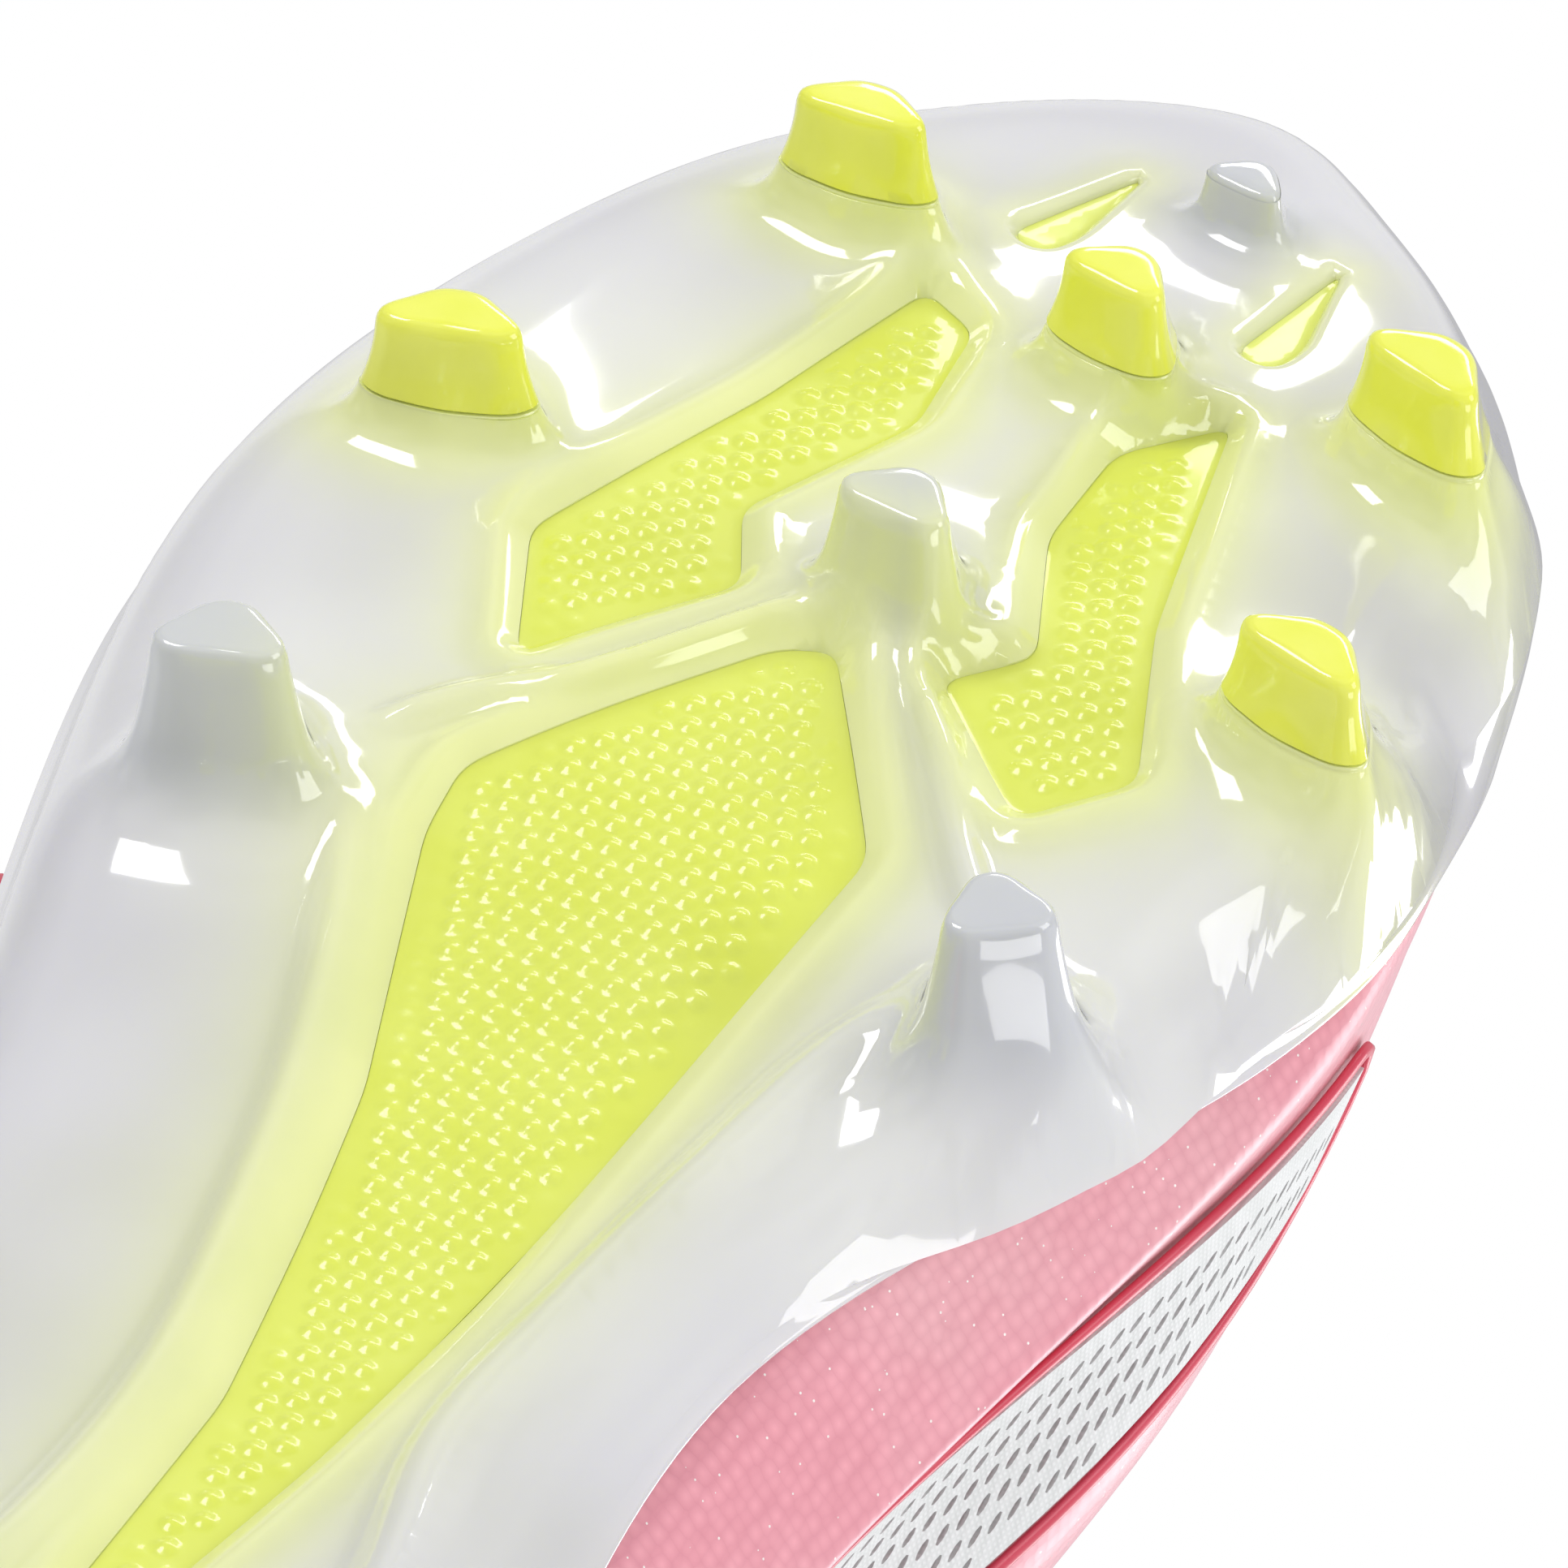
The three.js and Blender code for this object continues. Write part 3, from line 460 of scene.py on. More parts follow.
def glitter_knit():
    """Knit under a clear coat: net of small cells, darker specks, and fine glitter."""
    made, nodes, links, shader = finish("coated_glitter_knit", 0.42, Coat_Weight=0.35, Coat_Roughness=0.25,
                                        Sheen_Weight=0.15)
    where = own_coords(nodes)
    net = node(nodes, "TexVoronoi", Scale=780, Randomness=0.35)
    links.new(where, net.inputs["Vector"])
    sparks = node(nodes, "TexVoronoi", Scale=1500)
    links.new(where, sparks.inputs["Vector"])
    slow, fine = noise(nodes, links, 30, 3), noise(nodes, links, 420, 2)
    pink = ramp(nodes, links, slow, [(0.3, (0.93, 0.36, 0.43)), (0.55, (0.96, 0.41, 0.48)),
                                     (0.75, (0.94, 0.49, 0.53))])
    netted = ramp(nodes, links, net.outputs["Distance"], [(0.0, (1, 1, 1)), (0.75, (0.78, 0.66, 0.70))])
    shade = node(nodes, "Mix", data_type="RGBA", blend_type="MULTIPLY")
    shade.inputs[0].default_value = 0.75
    links.new(pink, shade.inputs[6])
    links.new(netted, shade.inputs[7])
    centre = sum_up(nodes, links, "LESS_THAN", sparks.outputs["Distance"], 0.16)
    pick = node(nodes, "SeparateColor")
    links.new(sparks.outputs["Color"], pick.inputs[0])
    few = sum_up(nodes, links, "GREATER_THAN", pick.outputs[0], 0.80)
    spark = sum_up(nodes, links, "MULTIPLY", centre, few)
    links.new(blend(nodes, links, spark, shade.outputs[2], (1.0, 0.93, 0.88)), shader.inputs["Base Color"])
    links.new(sum_up(nodes, links, "SUBTRACT", 0.42, sum_up(nodes, links, "MULTIPLY", spark, 0.3)),
              shader.inputs["Roughness"])
    height = sum_up(nodes, links, "ADD", net.outputs["Distance"], sum_up(nodes, links, "MULTIPLY", fine, 0.6))
    raise_up(nodes, links, shader, height, 0.00012, 0.55)
    return made


def ribbed_knit():
    """Stretch knit: loops along each rib."""
    made, nodes, links, shader = finish("ribbed_collar_knit", 0.8, Sheen_Weight=0.35, Sheen_Roughness=0.4)
    stretch = node(nodes, "Mapping")
    stretch.inputs["Scale"].default_value = (150, 46, 1)
    links.new(own_coords(nodes, "UV"), stretch.inputs["Vector"])
    loops = node(nodes, "TexVoronoi", Scale=1.0, Randomness=0.15)
    links.new(stretch.outputs["Vector"], loops.inputs["Vector"])
    slow = noise(nodes, links, 50, 3)
    pink = ramp(nodes, links, slow, [(0.3, (0.70, 0.25, 0.33)), (0.7, (0.78, 0.33, 0.41))])
    shade = node(nodes, "Mix", data_type="RGBA", blend_type="MULTIPLY")
    shade.inputs[0].default_value = 0.8
    links.new(pink, shade.inputs[6])
    links.new(ramp(nodes, links, loops.outputs["Distance"], [(0.1, (1, 1, 1)), (0.8, (0.62, 0.5, 0.55))]),
              shade.inputs[7])
    links.new(shade.outputs[2], shader.inputs["Base Color"])
    raise_up(nodes, links, shader, loops.outputs["Distance"], 0.0002, -0.6)
    return made


def webbing_finish():
    made, nodes, links, shader = finish("woven_webbing", 0.8, Sheen_Weight=0.2)
    stretch = node(nodes, "Mapping")
    stretch.inputs["Scale"].default_value = (60, 10, 1)
    links.new(own_coords(nodes, "UV"), stretch.inputs["Vector"])
    weave = node(nodes, "TexBrick", Scale=1.0)
    weave.inputs["Mortar Size"].default_value = 0.05
    weave.inputs["Color1"].default_value = (0.86, 0.85, 0.83, 1)
    weave.inputs["Color2"].default_value = (0.76, 0.75, 0.74, 1)
    weave.inputs["Mortar"].default_value = (0.5, 0.48, 0.47, 1)
    links.new(stretch.outputs["Vector"], weave.inputs["Vector"])
    links.new(weave.outputs["Color"], shader.inputs["Base Color"])
    raise_up(nodes, links, shader, weave.outputs["Fac"], 0.0002, -0.7)
    return made


FINISHES = {
    "clear_plate": pearl_plate(),
    "yellow_frame": yellow_moulding("yellow_frame_moulding", 0.28, 0.6,
                                    (0.76, 0.84, 0.095), (0.80, 0.88, 0.14)),
    "yellow_tip": yellow_moulding("yellow_tip_moulding", 0.12, 1.0, (0.88, 0.93, 0.07), (0.93, 0.97, 0.13)),
    "filler_foam": foam("filler_foam_cells", (0.55, 0.53, 0.46), (0.82, 0.80, 0.74)),
    "board_fleece": plain_cloth("board_fleece_cloth", (0.62, 0.60, 0.54), (0.86, 0.85, 0.80), 0.0012),
    "footbed_foam": foam("footbed_foam_cells", (0.60, 0.24, 0.31), (0.84, 0.46, 0.53)),
    "footbed_cloth": plain_cloth("footbed_brushed_cloth", (0.70, 0.30, 0.38), (0.88, 0.52, 0.58), 0.0009),
    "coated_knit": glitter_knit(),
    "collar_knit": ribbed_knit(),
    "heel_stiffener": moulded("heel_stiffener_sheet", (0.62, 0.61, 0.57), (0.80, 0.79, 0.74), 0.6),
    "padding_foam": foam("padding_foam_cells", (0.62, 0.58, 0.50), (0.88, 0.85, 0.78)),
    "lining_cloth": plain_cloth("lining_tricot", (0.74, 0.44, 0.50), (0.92, 0.68, 0.73), 0.0008),
    "toe_stiffener": moulded("toe_stiffener_sheet", (0.62, 0.61, 0.57), (0.80, 0.79, 0.74), 0.6),
    "coated_trim": moulded("coated_trim_film", (0.80, 0.80, 0.81), (0.88, 0.88, 0.89), 0.35, coat=0.4),
    "perforated_panel": plain_cloth("perforated_white_cloth", (0.72, 0.74, 0.73), (0.86, 0.87, 0.87), 0.0005,
                                    roughness=0.6, height=0.00004, sheen=0.05),
    "red_piping": moulded("red_piping_welt", (0.60, 0.035, 0.075), (0.72, 0.06, 0.11), 0.4, coat=0.3),
    "webbing": webbing_finish(),
}


# ---------------------------------------------------------------------------
# Making pieces
# ---------------------------------------------------------------------------
def only(piece):
    bpy.ops.object.select_all(action="DESELECT")
    piece.select_set(True)
    bpy.context.view_layer.objects.active = piece


def modify(piece, kind, **settings):
    only(piece)
    modifier = piece.modifiers.new(kind, kind)
    for key, value in settings.items():
        setattr(modifier, key, value)
    bpy.ops.object.modifier_apply(modifier=modifier.name)


def close_up(piece, merge=2e-6):
    """Merges the meeting rows and turns every face outwards."""
    only(piece)
    bpy.ops.object.mode_set(mode="EDIT")
    bpy.ops.mesh.select_all(action="SELECT")
    bpy.ops.mesh.remove_doubles(threshold=merge)
    bpy.ops.mesh.dissolve_degenerate(threshold=1e-7)
    bpy.ops.mesh.select_all(action="SELECT")
    bpy.ops.mesh.normals_make_consistent(inside=False)
    bpy.ops.object.mode_set(mode="OBJECT")


def outward_sheet(piece):
    """An open sheet has its faces turned away from the inside of the boot."""
    mesh = piece.data
    centres = np.array([f.center for f in mesh.polygons])
    normals = np.array([f.normal for f in mesh.polygons])
    away = centres - centres.mean(0)
    if np.sum(away * normals) < 0:
        mesh.flip_normals()


def wrapped_grid(name, columns, rows, place):
    """A flat grid laid over the boot: place(s, t) gives pattern millimetres for each point."""
    bpy.ops.mesh.primitive_grid_add(x_subdivisions=columns, y_subdivisions=rows, size=1)
    piece = bpy.context.object
    piece.name = piece.data.name = name
    flat = np.zeros(len(piece.data.vertices) * 3)
    piece.data.vertices.foreach_get("co", flat)
    flat = flat.reshape(-1, 3)
    points = placed(place(flat[:, 0] + 0.5, flat[:, 1] + 0.5))
    piece.data.vertices.foreach_set("co", points.ravel())
    piece.data.update()
    return piece


def from_parts(name, parts):
    """One mesh from several (points, faces) parts that share their borders."""
    points, faces, start = [], [], 0
    for part_points, part_faces in parts:
        points.append(np.asarray(part_points, float))
        faces.extend([[start + i for i in face] for face in part_faces])
        start += len(part_points)
    mesh = bpy.data.meshes.new(name)
    mesh.from_pydata(placed(np.concatenate(points)).tolist(), [], faces)
    mesh.validate()
    piece = bpy.data.objects.new(name, mesh)
    bpy.context.scene.collection.objects.link(piece)
    close_up(piece)
    return piece


def done(piece, slot, nodes=(), body="shoe", sharp=40):
    only(piece)
    bpy.ops.object.shade_smooth_by_angle(angle=math.radians(sharp))
    piece.data.materials.clear()
    piece.data.materials.append(FINISHES[slot])
    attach(piece, body)
    if nodes:
        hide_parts(*nodes)
    return piece


def strip(rows, closed=True):
    """Faces between rows of points of equal length."""
    rows = [np.asarray(r, float) for r in rows]
    count = len(rows[0])
    faces = []
    for r in range(len(rows) - 1):
        for c in range(count if closed else count - 1):
            a, b = r * count + c, r * count + (c + 1) % count
            faces.append([a, b, b + count, a + count])
    return np.concatenate(rows), faces


def fan(ring, centre):
    ring = np.asarray(ring, float)
    count = len(ring)
    return np.concatenate([ring, [centre]]), [[i, (i + 1) % count, count] for i in range(count)]


def inside(points, outline):
    x, y = points[:, 0], points[:, 1]
    hit = np.zeros(len(points), bool)
    for (x0, y0), (x1, y1) in zip(outline, np.roll(outline, -1, 0)):
        if y0 == y1:
            continue
        crosses = ((y0 > y) != (y1 > y)) & (x < (x1 - x0) * (y - y0) / (y1 - y0) + x0)
        hit ^= crosses
    return hit


def distance_to(points, line, closed=True):
    line = np.asarray(line, float)
    ends = np.roll(line, -1, 0) if closed else line[1:]
    best = np.full(len(points), 1e9)
    for a, b in zip(line if closed else line[:-1], ends):
        d = b - a
        t = np.clip(((points - a) @ d) / max(d @ d, 1e-12), 0, 1)
        best = np.minimum(best, np.hypot(*(points - a - t[:, None] * d).T))
    return best


def rounded(outline, times=3, reach=1.6):
    """Corners cut again and again into a smooth outline."""
    points = np.asarray(outline, float)
    for _ in range(times):
        after = np.roll(points, -1, 0)
        length = np.hypot(*(after - points).T)
        cut = np.minimum(0.25, reach / np.maximum(length, 1e-6))[:, None]
        reach *= 0.6
        pairs = np.stack([points * (1 - cut) + after * cut, points * cut + after * (1 - cut)], 1)
        points = pairs.reshape(-1, 2)
    return points


def evenly(outline, spacing):
    outline = np.asarray(outline, float)
    loop = np.vstack([outline, outline[:1]])
    reach = np.concatenate([[0], np.cumsum(np.hypot(*np.diff(loop, axis=0).T))])
    count = max(8, int(round(reach[-1] / spacing)))
    at = np.linspace(0, reach[-1], count, endpoint=False)
    return np.stack([np.interp(at, reach, loop[:, k]) for k in (0, 1)], 1)


def offset(outline, distance):
    """An outline moved outwards; a negative distance moves it in."""
    before, after = np.roll(outline, 1, 0), np.roll(outline, -1, 0)
    along = after - before
    along /= np.hypot(*along.T)[:, None]
    turn = np.sign(np.sum(outline[:, 0] * after[:, 1] - after[:, 0] * outline[:, 1]))
    return outline + np.stack([along[:, 1], -along[:, 0]], 1) * turn * distance


def hex_lattice(pitch, low, high, turn=0.0):
    reach = max(high[0] - low[0], high[1] - low[1])
    n = int(reach / pitch) + 2
    i, j = np.meshgrid(np.arange(-n, n + 1), np.arange(-n, n + 1))
    x = (i + 0.5 * (j % 2)).ravel() * pitch
    y = j.ravel() * pitch * 0.8660254
    c, s = math.cos(turn), math.sin(turn)
    points = np.stack([x * c - y * s, x * s + y * c], 1) + (np.array(low) + np.array(high)) / 2
    keep = np.all((points >= low) & (points <= high), axis=1)
    return points[keep]


def plan_faces(points, loops, outside, holes):
    """Triangles over plan points. loops are runs (start, count) of points that stay edges."""
    edges = [(start + i, start + (i + 1) % count) for start, count in loops for i in range(count)]
    made = delaunay_2d_cdt([Vector(p) for p in points], edges, [], 0, 1e-6, True)
    source = [ids[0] if ids else -1 for ids in made[3]]
    faces = np.array([[source[i] for i in face] for face in made[2] if len(face) == 3])
    faces = faces[np.all(faces >= 0, axis=1)]
    middle = points[faces].mean(1)
    keep = inside(middle, outside)
    for hole in holes:
        keep &= ~inside(middle, hole)
    return faces[keep]


# ---------------------------------------------------------------------------
# Soleplate: studs, windows and ridges, drawn in the pattern's millimetres.
# ---------------------------------------------------------------------------
# A plain stud has no yellow tip. The toe's small stud ends above the ground, at its foot's height.
Stud = namedtuple("Stud", "name x y heading base point tipped tip_top foot")
STUDS = [Stud(*row) for row in [
    ("medial_front", 220.2, 28.4, 18, 15.6, 7.4, True, 7.0, 0.0),
    ("medial_middle", 185.1, 35.9, 15, 15.8, 7.0, True, 7.0, 0.0),
    ("medial_rear", 148.0, 29.6, -38, 11.4, 8.8, False, 7.0, 0.0),
    ("centre_front", 218.2, 2.5, 10, 13.0, 7.0, True, 7.0, 0.0),
    ("centre_middle", 185.4, 1.2, 6, 13.0, 7.4, False, 7.0, 0.0),
    ("lateral_front", 226.9, -25.3, -4, 15.6, 6.4, True, 7.0, 0.0),
    ("lateral_middle", 187.2, -39.6, -16, 16.2, 7.4, True, 7.0, 0.0),
    ("lateral_rear", 146.0, -34.5, -20, 14.0, 8.5, False, 7.0, 0.0),
    ("heel_medial_front", 58.0, 22.0, 195, 15.0, 9.0, True, 8.0, 0.0),
    ("heel_medial_rear", 24.0, 17.0, 205, 14.0, 9.0, True, 8.0, 0.0),
    ("heel_lateral_front", 56.0, -22.0, 165, 15.0, 9.0, True, 8.0, 0.0),
    ("heel_lateral_rear", 22.0, -17.0, 155, 14.0, 9.0, True, 8.0, 0.0),
    ("toe", 243.5, 0.7, 8, 9.5, 5.4, False, 0.0, 8.5),
]]
STUD_ROUND = 96
# The windows' corners in the plate, as (x, y).
WINDOWS = [
    [(222, -17), (219, -11), (206, -9), (190, -15.5), (182, -11), (167, -22), (180, -28.5), (203, -21)],
    [(219, 12), (211, 6), (199, 6.5), (186, 12.5), (180, 7.5), (170, 19.5), (177, 26), (193, 19)],
    [(177, -5), (179, -1), (161, 12), (124, 10), (90, 8), (60, 5), (58, 2), (92, -1), (124, -9), (148, -18.5),
     (155, -19.5)],
    [(233, -15.5), (231.5, -12), (235, -10.5), (247, -10.5)],
    [(228, 7.5), (227, 11), (231, 12), (243, 9.5)],
]
# The first three windows are large ones with dots in them.
LARGE_WINDOWS = 3
WINDOW_LINES = [evenly(rounded(w, 3, 0.95), 0.5) for w in WINDOWS]
# Ridges on the sole: a line, how high it stands and how wide it is.
RIDGES = [
    ([(184, -3), (176, -8.5), (167, -15), (160, -23.5), (153, -29)], 1.5, 1.5),
    ([(183, 3), (175, 9.5), (166, 16.5), (156, 25)], 1.5, 1.6),
    ([(150, 24), (142, 20), (129, 17.5), (112, 15.5), (96, 15), (82, 19), (64, 23)], 2.3, 2.5),
    ([(150, -25.5), (138, -20), (124, -14.5), (108, -10), (90, -6), (72, -5), (52, -7)], 1.8, 2.0),
    ([(141, 33), (128, 29), (112, 27), (98, 27)], 1.0, 2.4),
]


def stud_radius(base, point, heading):
    """The stud's outline as a distance from its middle for each direction."""
    half = base / 2
    corners = np.array([(-0.4 * point, -half), (0.6 * point, 0), (-0.4 * point, half)])
    ring = []
    for i in range(3):
        for other in (corners[(i + 2) % 3], corners[(i + 1) % 3]):
            ring.append(corners[i] * 0.78 + other * 0.22)
    ring = evenly(rounded(np.array(ring), 3, 0.8), 0.06)
    angle = math.radians(heading)
    turned = np.stack([ring[:, 0] * math.cos(angle) - ring[:, 1] * math.sin(angle),
                       ring[:, 0] * math.sin(angle) + ring[:, 1] * math.cos(angle)], 1)
    way = np.arctan2(turned[:, 1], turned[:, 0])
    order = np.argsort(way)
    return way[order], np.hypot(*turned.T)[order]


WALL_DEPTH = 1.6
STUD_SHAPES = {s.name: stud_radius(s.base, s.point, s.heading) for s in STUDS}
STUD_FLARE = 0.19
PEG_RISE, PLAIN_STUD_RISE, TOE_STUD_RISE = 0.75, 5.0, 2.6


def stud_height(stud):
    """How far the stud's foot stands out of the sole before its straight sides begin."""
    if stud.tipped:
        return float(follow(UNDERSIDE, stud.x)) - stud.tip_top - PEG_RISE
    return TOE_STUD_RISE if stud.name == "toe" else PLAIN_STUD_RISE


def stud_root(stud):
    """How much wider the stud is where its straight sides begin than at its end."""
    return STUD_FLARE * (float(follow(UNDERSIDE, stud.x)) - stud_height(stud) - stud.foot)


STUD_WAYS = np.linspace(-math.pi, math.pi, STUD_ROUND, endpoint=False)


def stud_reach(stud, way):
    ways, radii = STUD_SHAPES[stud.name]
    return np.interp(way, ways, radii, period=2 * math.pi) + stud_root(stud)


def stud_ring(stud, grow, z=0.0):
    radius = stud_reach(stud, STUD_WAYS) + grow
    ring = np.stack([stud.x + radius * np.cos(STUD_WAYS), stud.y + radius * np.sin(STUD_WAYS)], 1)
    return np.column_stack([ring, np.broadcast_to(z, STUD_ROUND)])


def stud_distance(stud, points):
    d = points - np.array([stud.x, stud.y])
    return np.hypot(*d.T) - stud_reach(stud, np.arctan2(d[:, 1], d[:, 0]))


def plate_depth(u, level):
    """The plate's outer face: thick under the sole, thin on the side wall and at its lip."""
    thin = ease(1.8, 2.7, level)
    near_edge = ease(-0.6, -0.1, level - plate_edge(u))
    return -(SOLE_STACK * (1 - thin) * (1 - near_edge) + WALL_DEPTH * np.maximum(thin, near_edge))


def plate_skin(u, level):
    return skin(u, level, plate_depth(u, level))


def rim_level(u):
    return np.minimum(2.72, plate_edge(u) - 0.08)


class Ground:
    """Finds a plan place on a face of the sole that is given by depth(u, level)."""

    def __init__(self, depth, top):
        self.depth = depth
        self.round, self.levels = 336, 46
        u = np.arange(self.round) / self.round
        share = np.linspace(0, 1, self.levels)
        self.u = np.repeat(u[None], self.levels, 0)
        self.level = 0.3 + (top(u)[None] - 0.3) * share[:, None]
        self.points = skin(self.u, self.level, depth(self.u, self.level))
        flat, faces = strip(self.points)
        faces = [tri for f in faces for tri in ((f[0], f[1], f[2]), (f[0], f[2], f[3]))]
        n = self.round
        cap = [(k, k + 1, n - k - 1, (n - k) % n) for k in range(n // 2)]
        self.cap_from = len(faces)
        faces += [tri for f in cap for tri in ((f[0], f[1], f[2]), (f[0], f[2], f[3])) if len(set(tri)) == 3]
        self.faces = faces
        self.flat = flat
        self.tree = BVHTree.FromPolygons(flat.tolist(), faces)

    def at(self, plan, moved=0.0):
        """Points on the face over or under each plan place, that face having been moved sideways."""
        found = np.zeros((len(plan), 3))
        u, level, known = np.zeros(len(plan)), np.zeros(len(plan)), np.zeros(len(plan), bool)
        flat_u, flat_level = self.u.ravel(), self.level.ravel()
        up = Vector((0, 0, 1))
        for k, (x, y) in enumerate(plan - moved):
            hit, _, face, _ = self.tree.ray_cast(Vector((x, y, -60)), up)
            if hit is None:
                hit, _, face, _ = self.tree.find_nearest(Vector((x, y, 14)))
            found[k] = hit
            if face < self.cap_from:
                ids = list(self.faces[face])
                a, b, c = self.flat[ids]
                m = np.array([b[:2] - a[:2], c[:2] - a[:2]]).T
                try:
                    s, t = np.linalg.solve(m, np.array(hit)[:2] - a[:2])
                except np.linalg.LinAlgError:
                    continue
                us = flat_u[ids].copy()
                if us.max() - us.min() > 0.5:
                    us[us < 0.5] += 1
                u[k] = us[0] + s * (us[1] - us[0]) + t * (us[2] - us[0])
                lv = flat_level[ids]
                level[k] = min(lv[0] + s * (lv[1] - lv[0]) + t * (lv[2] - lv[0]), lv.max())
                known[k] = True
        if known.any():
            exact = skin(u[known], level[known], self.depth(u[known], level[known]))
            share = ease(0.3, 1.0, level[known])
            lift = self.depth(u[known], level[known]) + SOLE_STACK
            plain = follow(UNDERSIDE, exact[:, 0]) + lift
            exact[:, 2] = plain + (exact[:, 2] - plain) * share
            found[known] = exact
        cap = ~known
        if cap.any():
            lift = self.depth(np.zeros(cap.sum()), np.full(cap.sum(), 0.5)) + SOLE_STACK
            found[cap, 2] = follow(UNDERSIDE, found[cap, 0]) + lift
        found[:, :2] = plan
        return found


def proud(plan, border, face_height):
    """How far the sole's moulded shapes stand out of its face at each plan place."""
    heights = []
    for line, height, width in RIDGES:
        line = smooth_line(line)
        d = distance_to(plan, line, closed=False)
        ends = np.minimum(np.hypot(*(plan - line[0]).T), np.hypot(*(plan - line[-1]).T))
        heights.append(height * np.exp(-(d / width) ** 2.4) * ease(0, 9, ends + 2))
    for stud in STUDS:
        d = np.maximum(stud_distance(stud, plan), 0)
        lift = np.maximum(face_height - float(follow(UNDERSIDE, stud.x)), 0)
        heights.append(stud_height(stud) * (0.46 * np.exp(-d / 4.6) + 0.54 * np.exp(-d / 1.0))
                       + lift * np.exp(-((d / 4.0) ** 1.5)))
    total = np.sum(np.array(heights) ** 2.2, 0) ** (1 / 2.2)
    for k, line in enumerate(WINDOW_LINES):
        d = distance_to(plan, line)
        d = np.where(inside(plan, line), 0, d)
        small = k >= LARGE_WINDOWS
        rim = 0.35 if small else 0.75
        wide = 1.0 if small else 2.1
        total = total * ease(-0.4, wide + 1.2, d)
        total += rim * np.exp(-((d - wide) / (0.7 * wide)) ** 2) - 0.42 * np.exp(-d / (0.45 * wide))
    edge = distance_to(plan, border)
    return total * ease(0, 1.6, edge)


def smooth_line(points, count=40):
    points = np.asarray(points, float)
    padded = np.vstack([2 * points[0] - points[1], points, 2 * points[-1] - points[-2]])
    t = np.linspace(0, len(points) - 1, count)
    i = np.minimum(t.astype(int), len(points) - 2)
    return catmull(padded[i], padded[i + 1], padded[i + 2], padded[i + 3], t - i)


def spaced(groups, loops, border, reach):
    """Keeps plan points clear of the loops and inside the border."""
    points = np.concatenate(groups)
    keep = inside(points, border)
    points = points[keep]
    near = np.min([distance_to(points, loop) for loop in loops], 0)
    kept = near > reach
    for loop in loops[1:]:
        kept &= ~inside(points, loop)
    return points[kept]


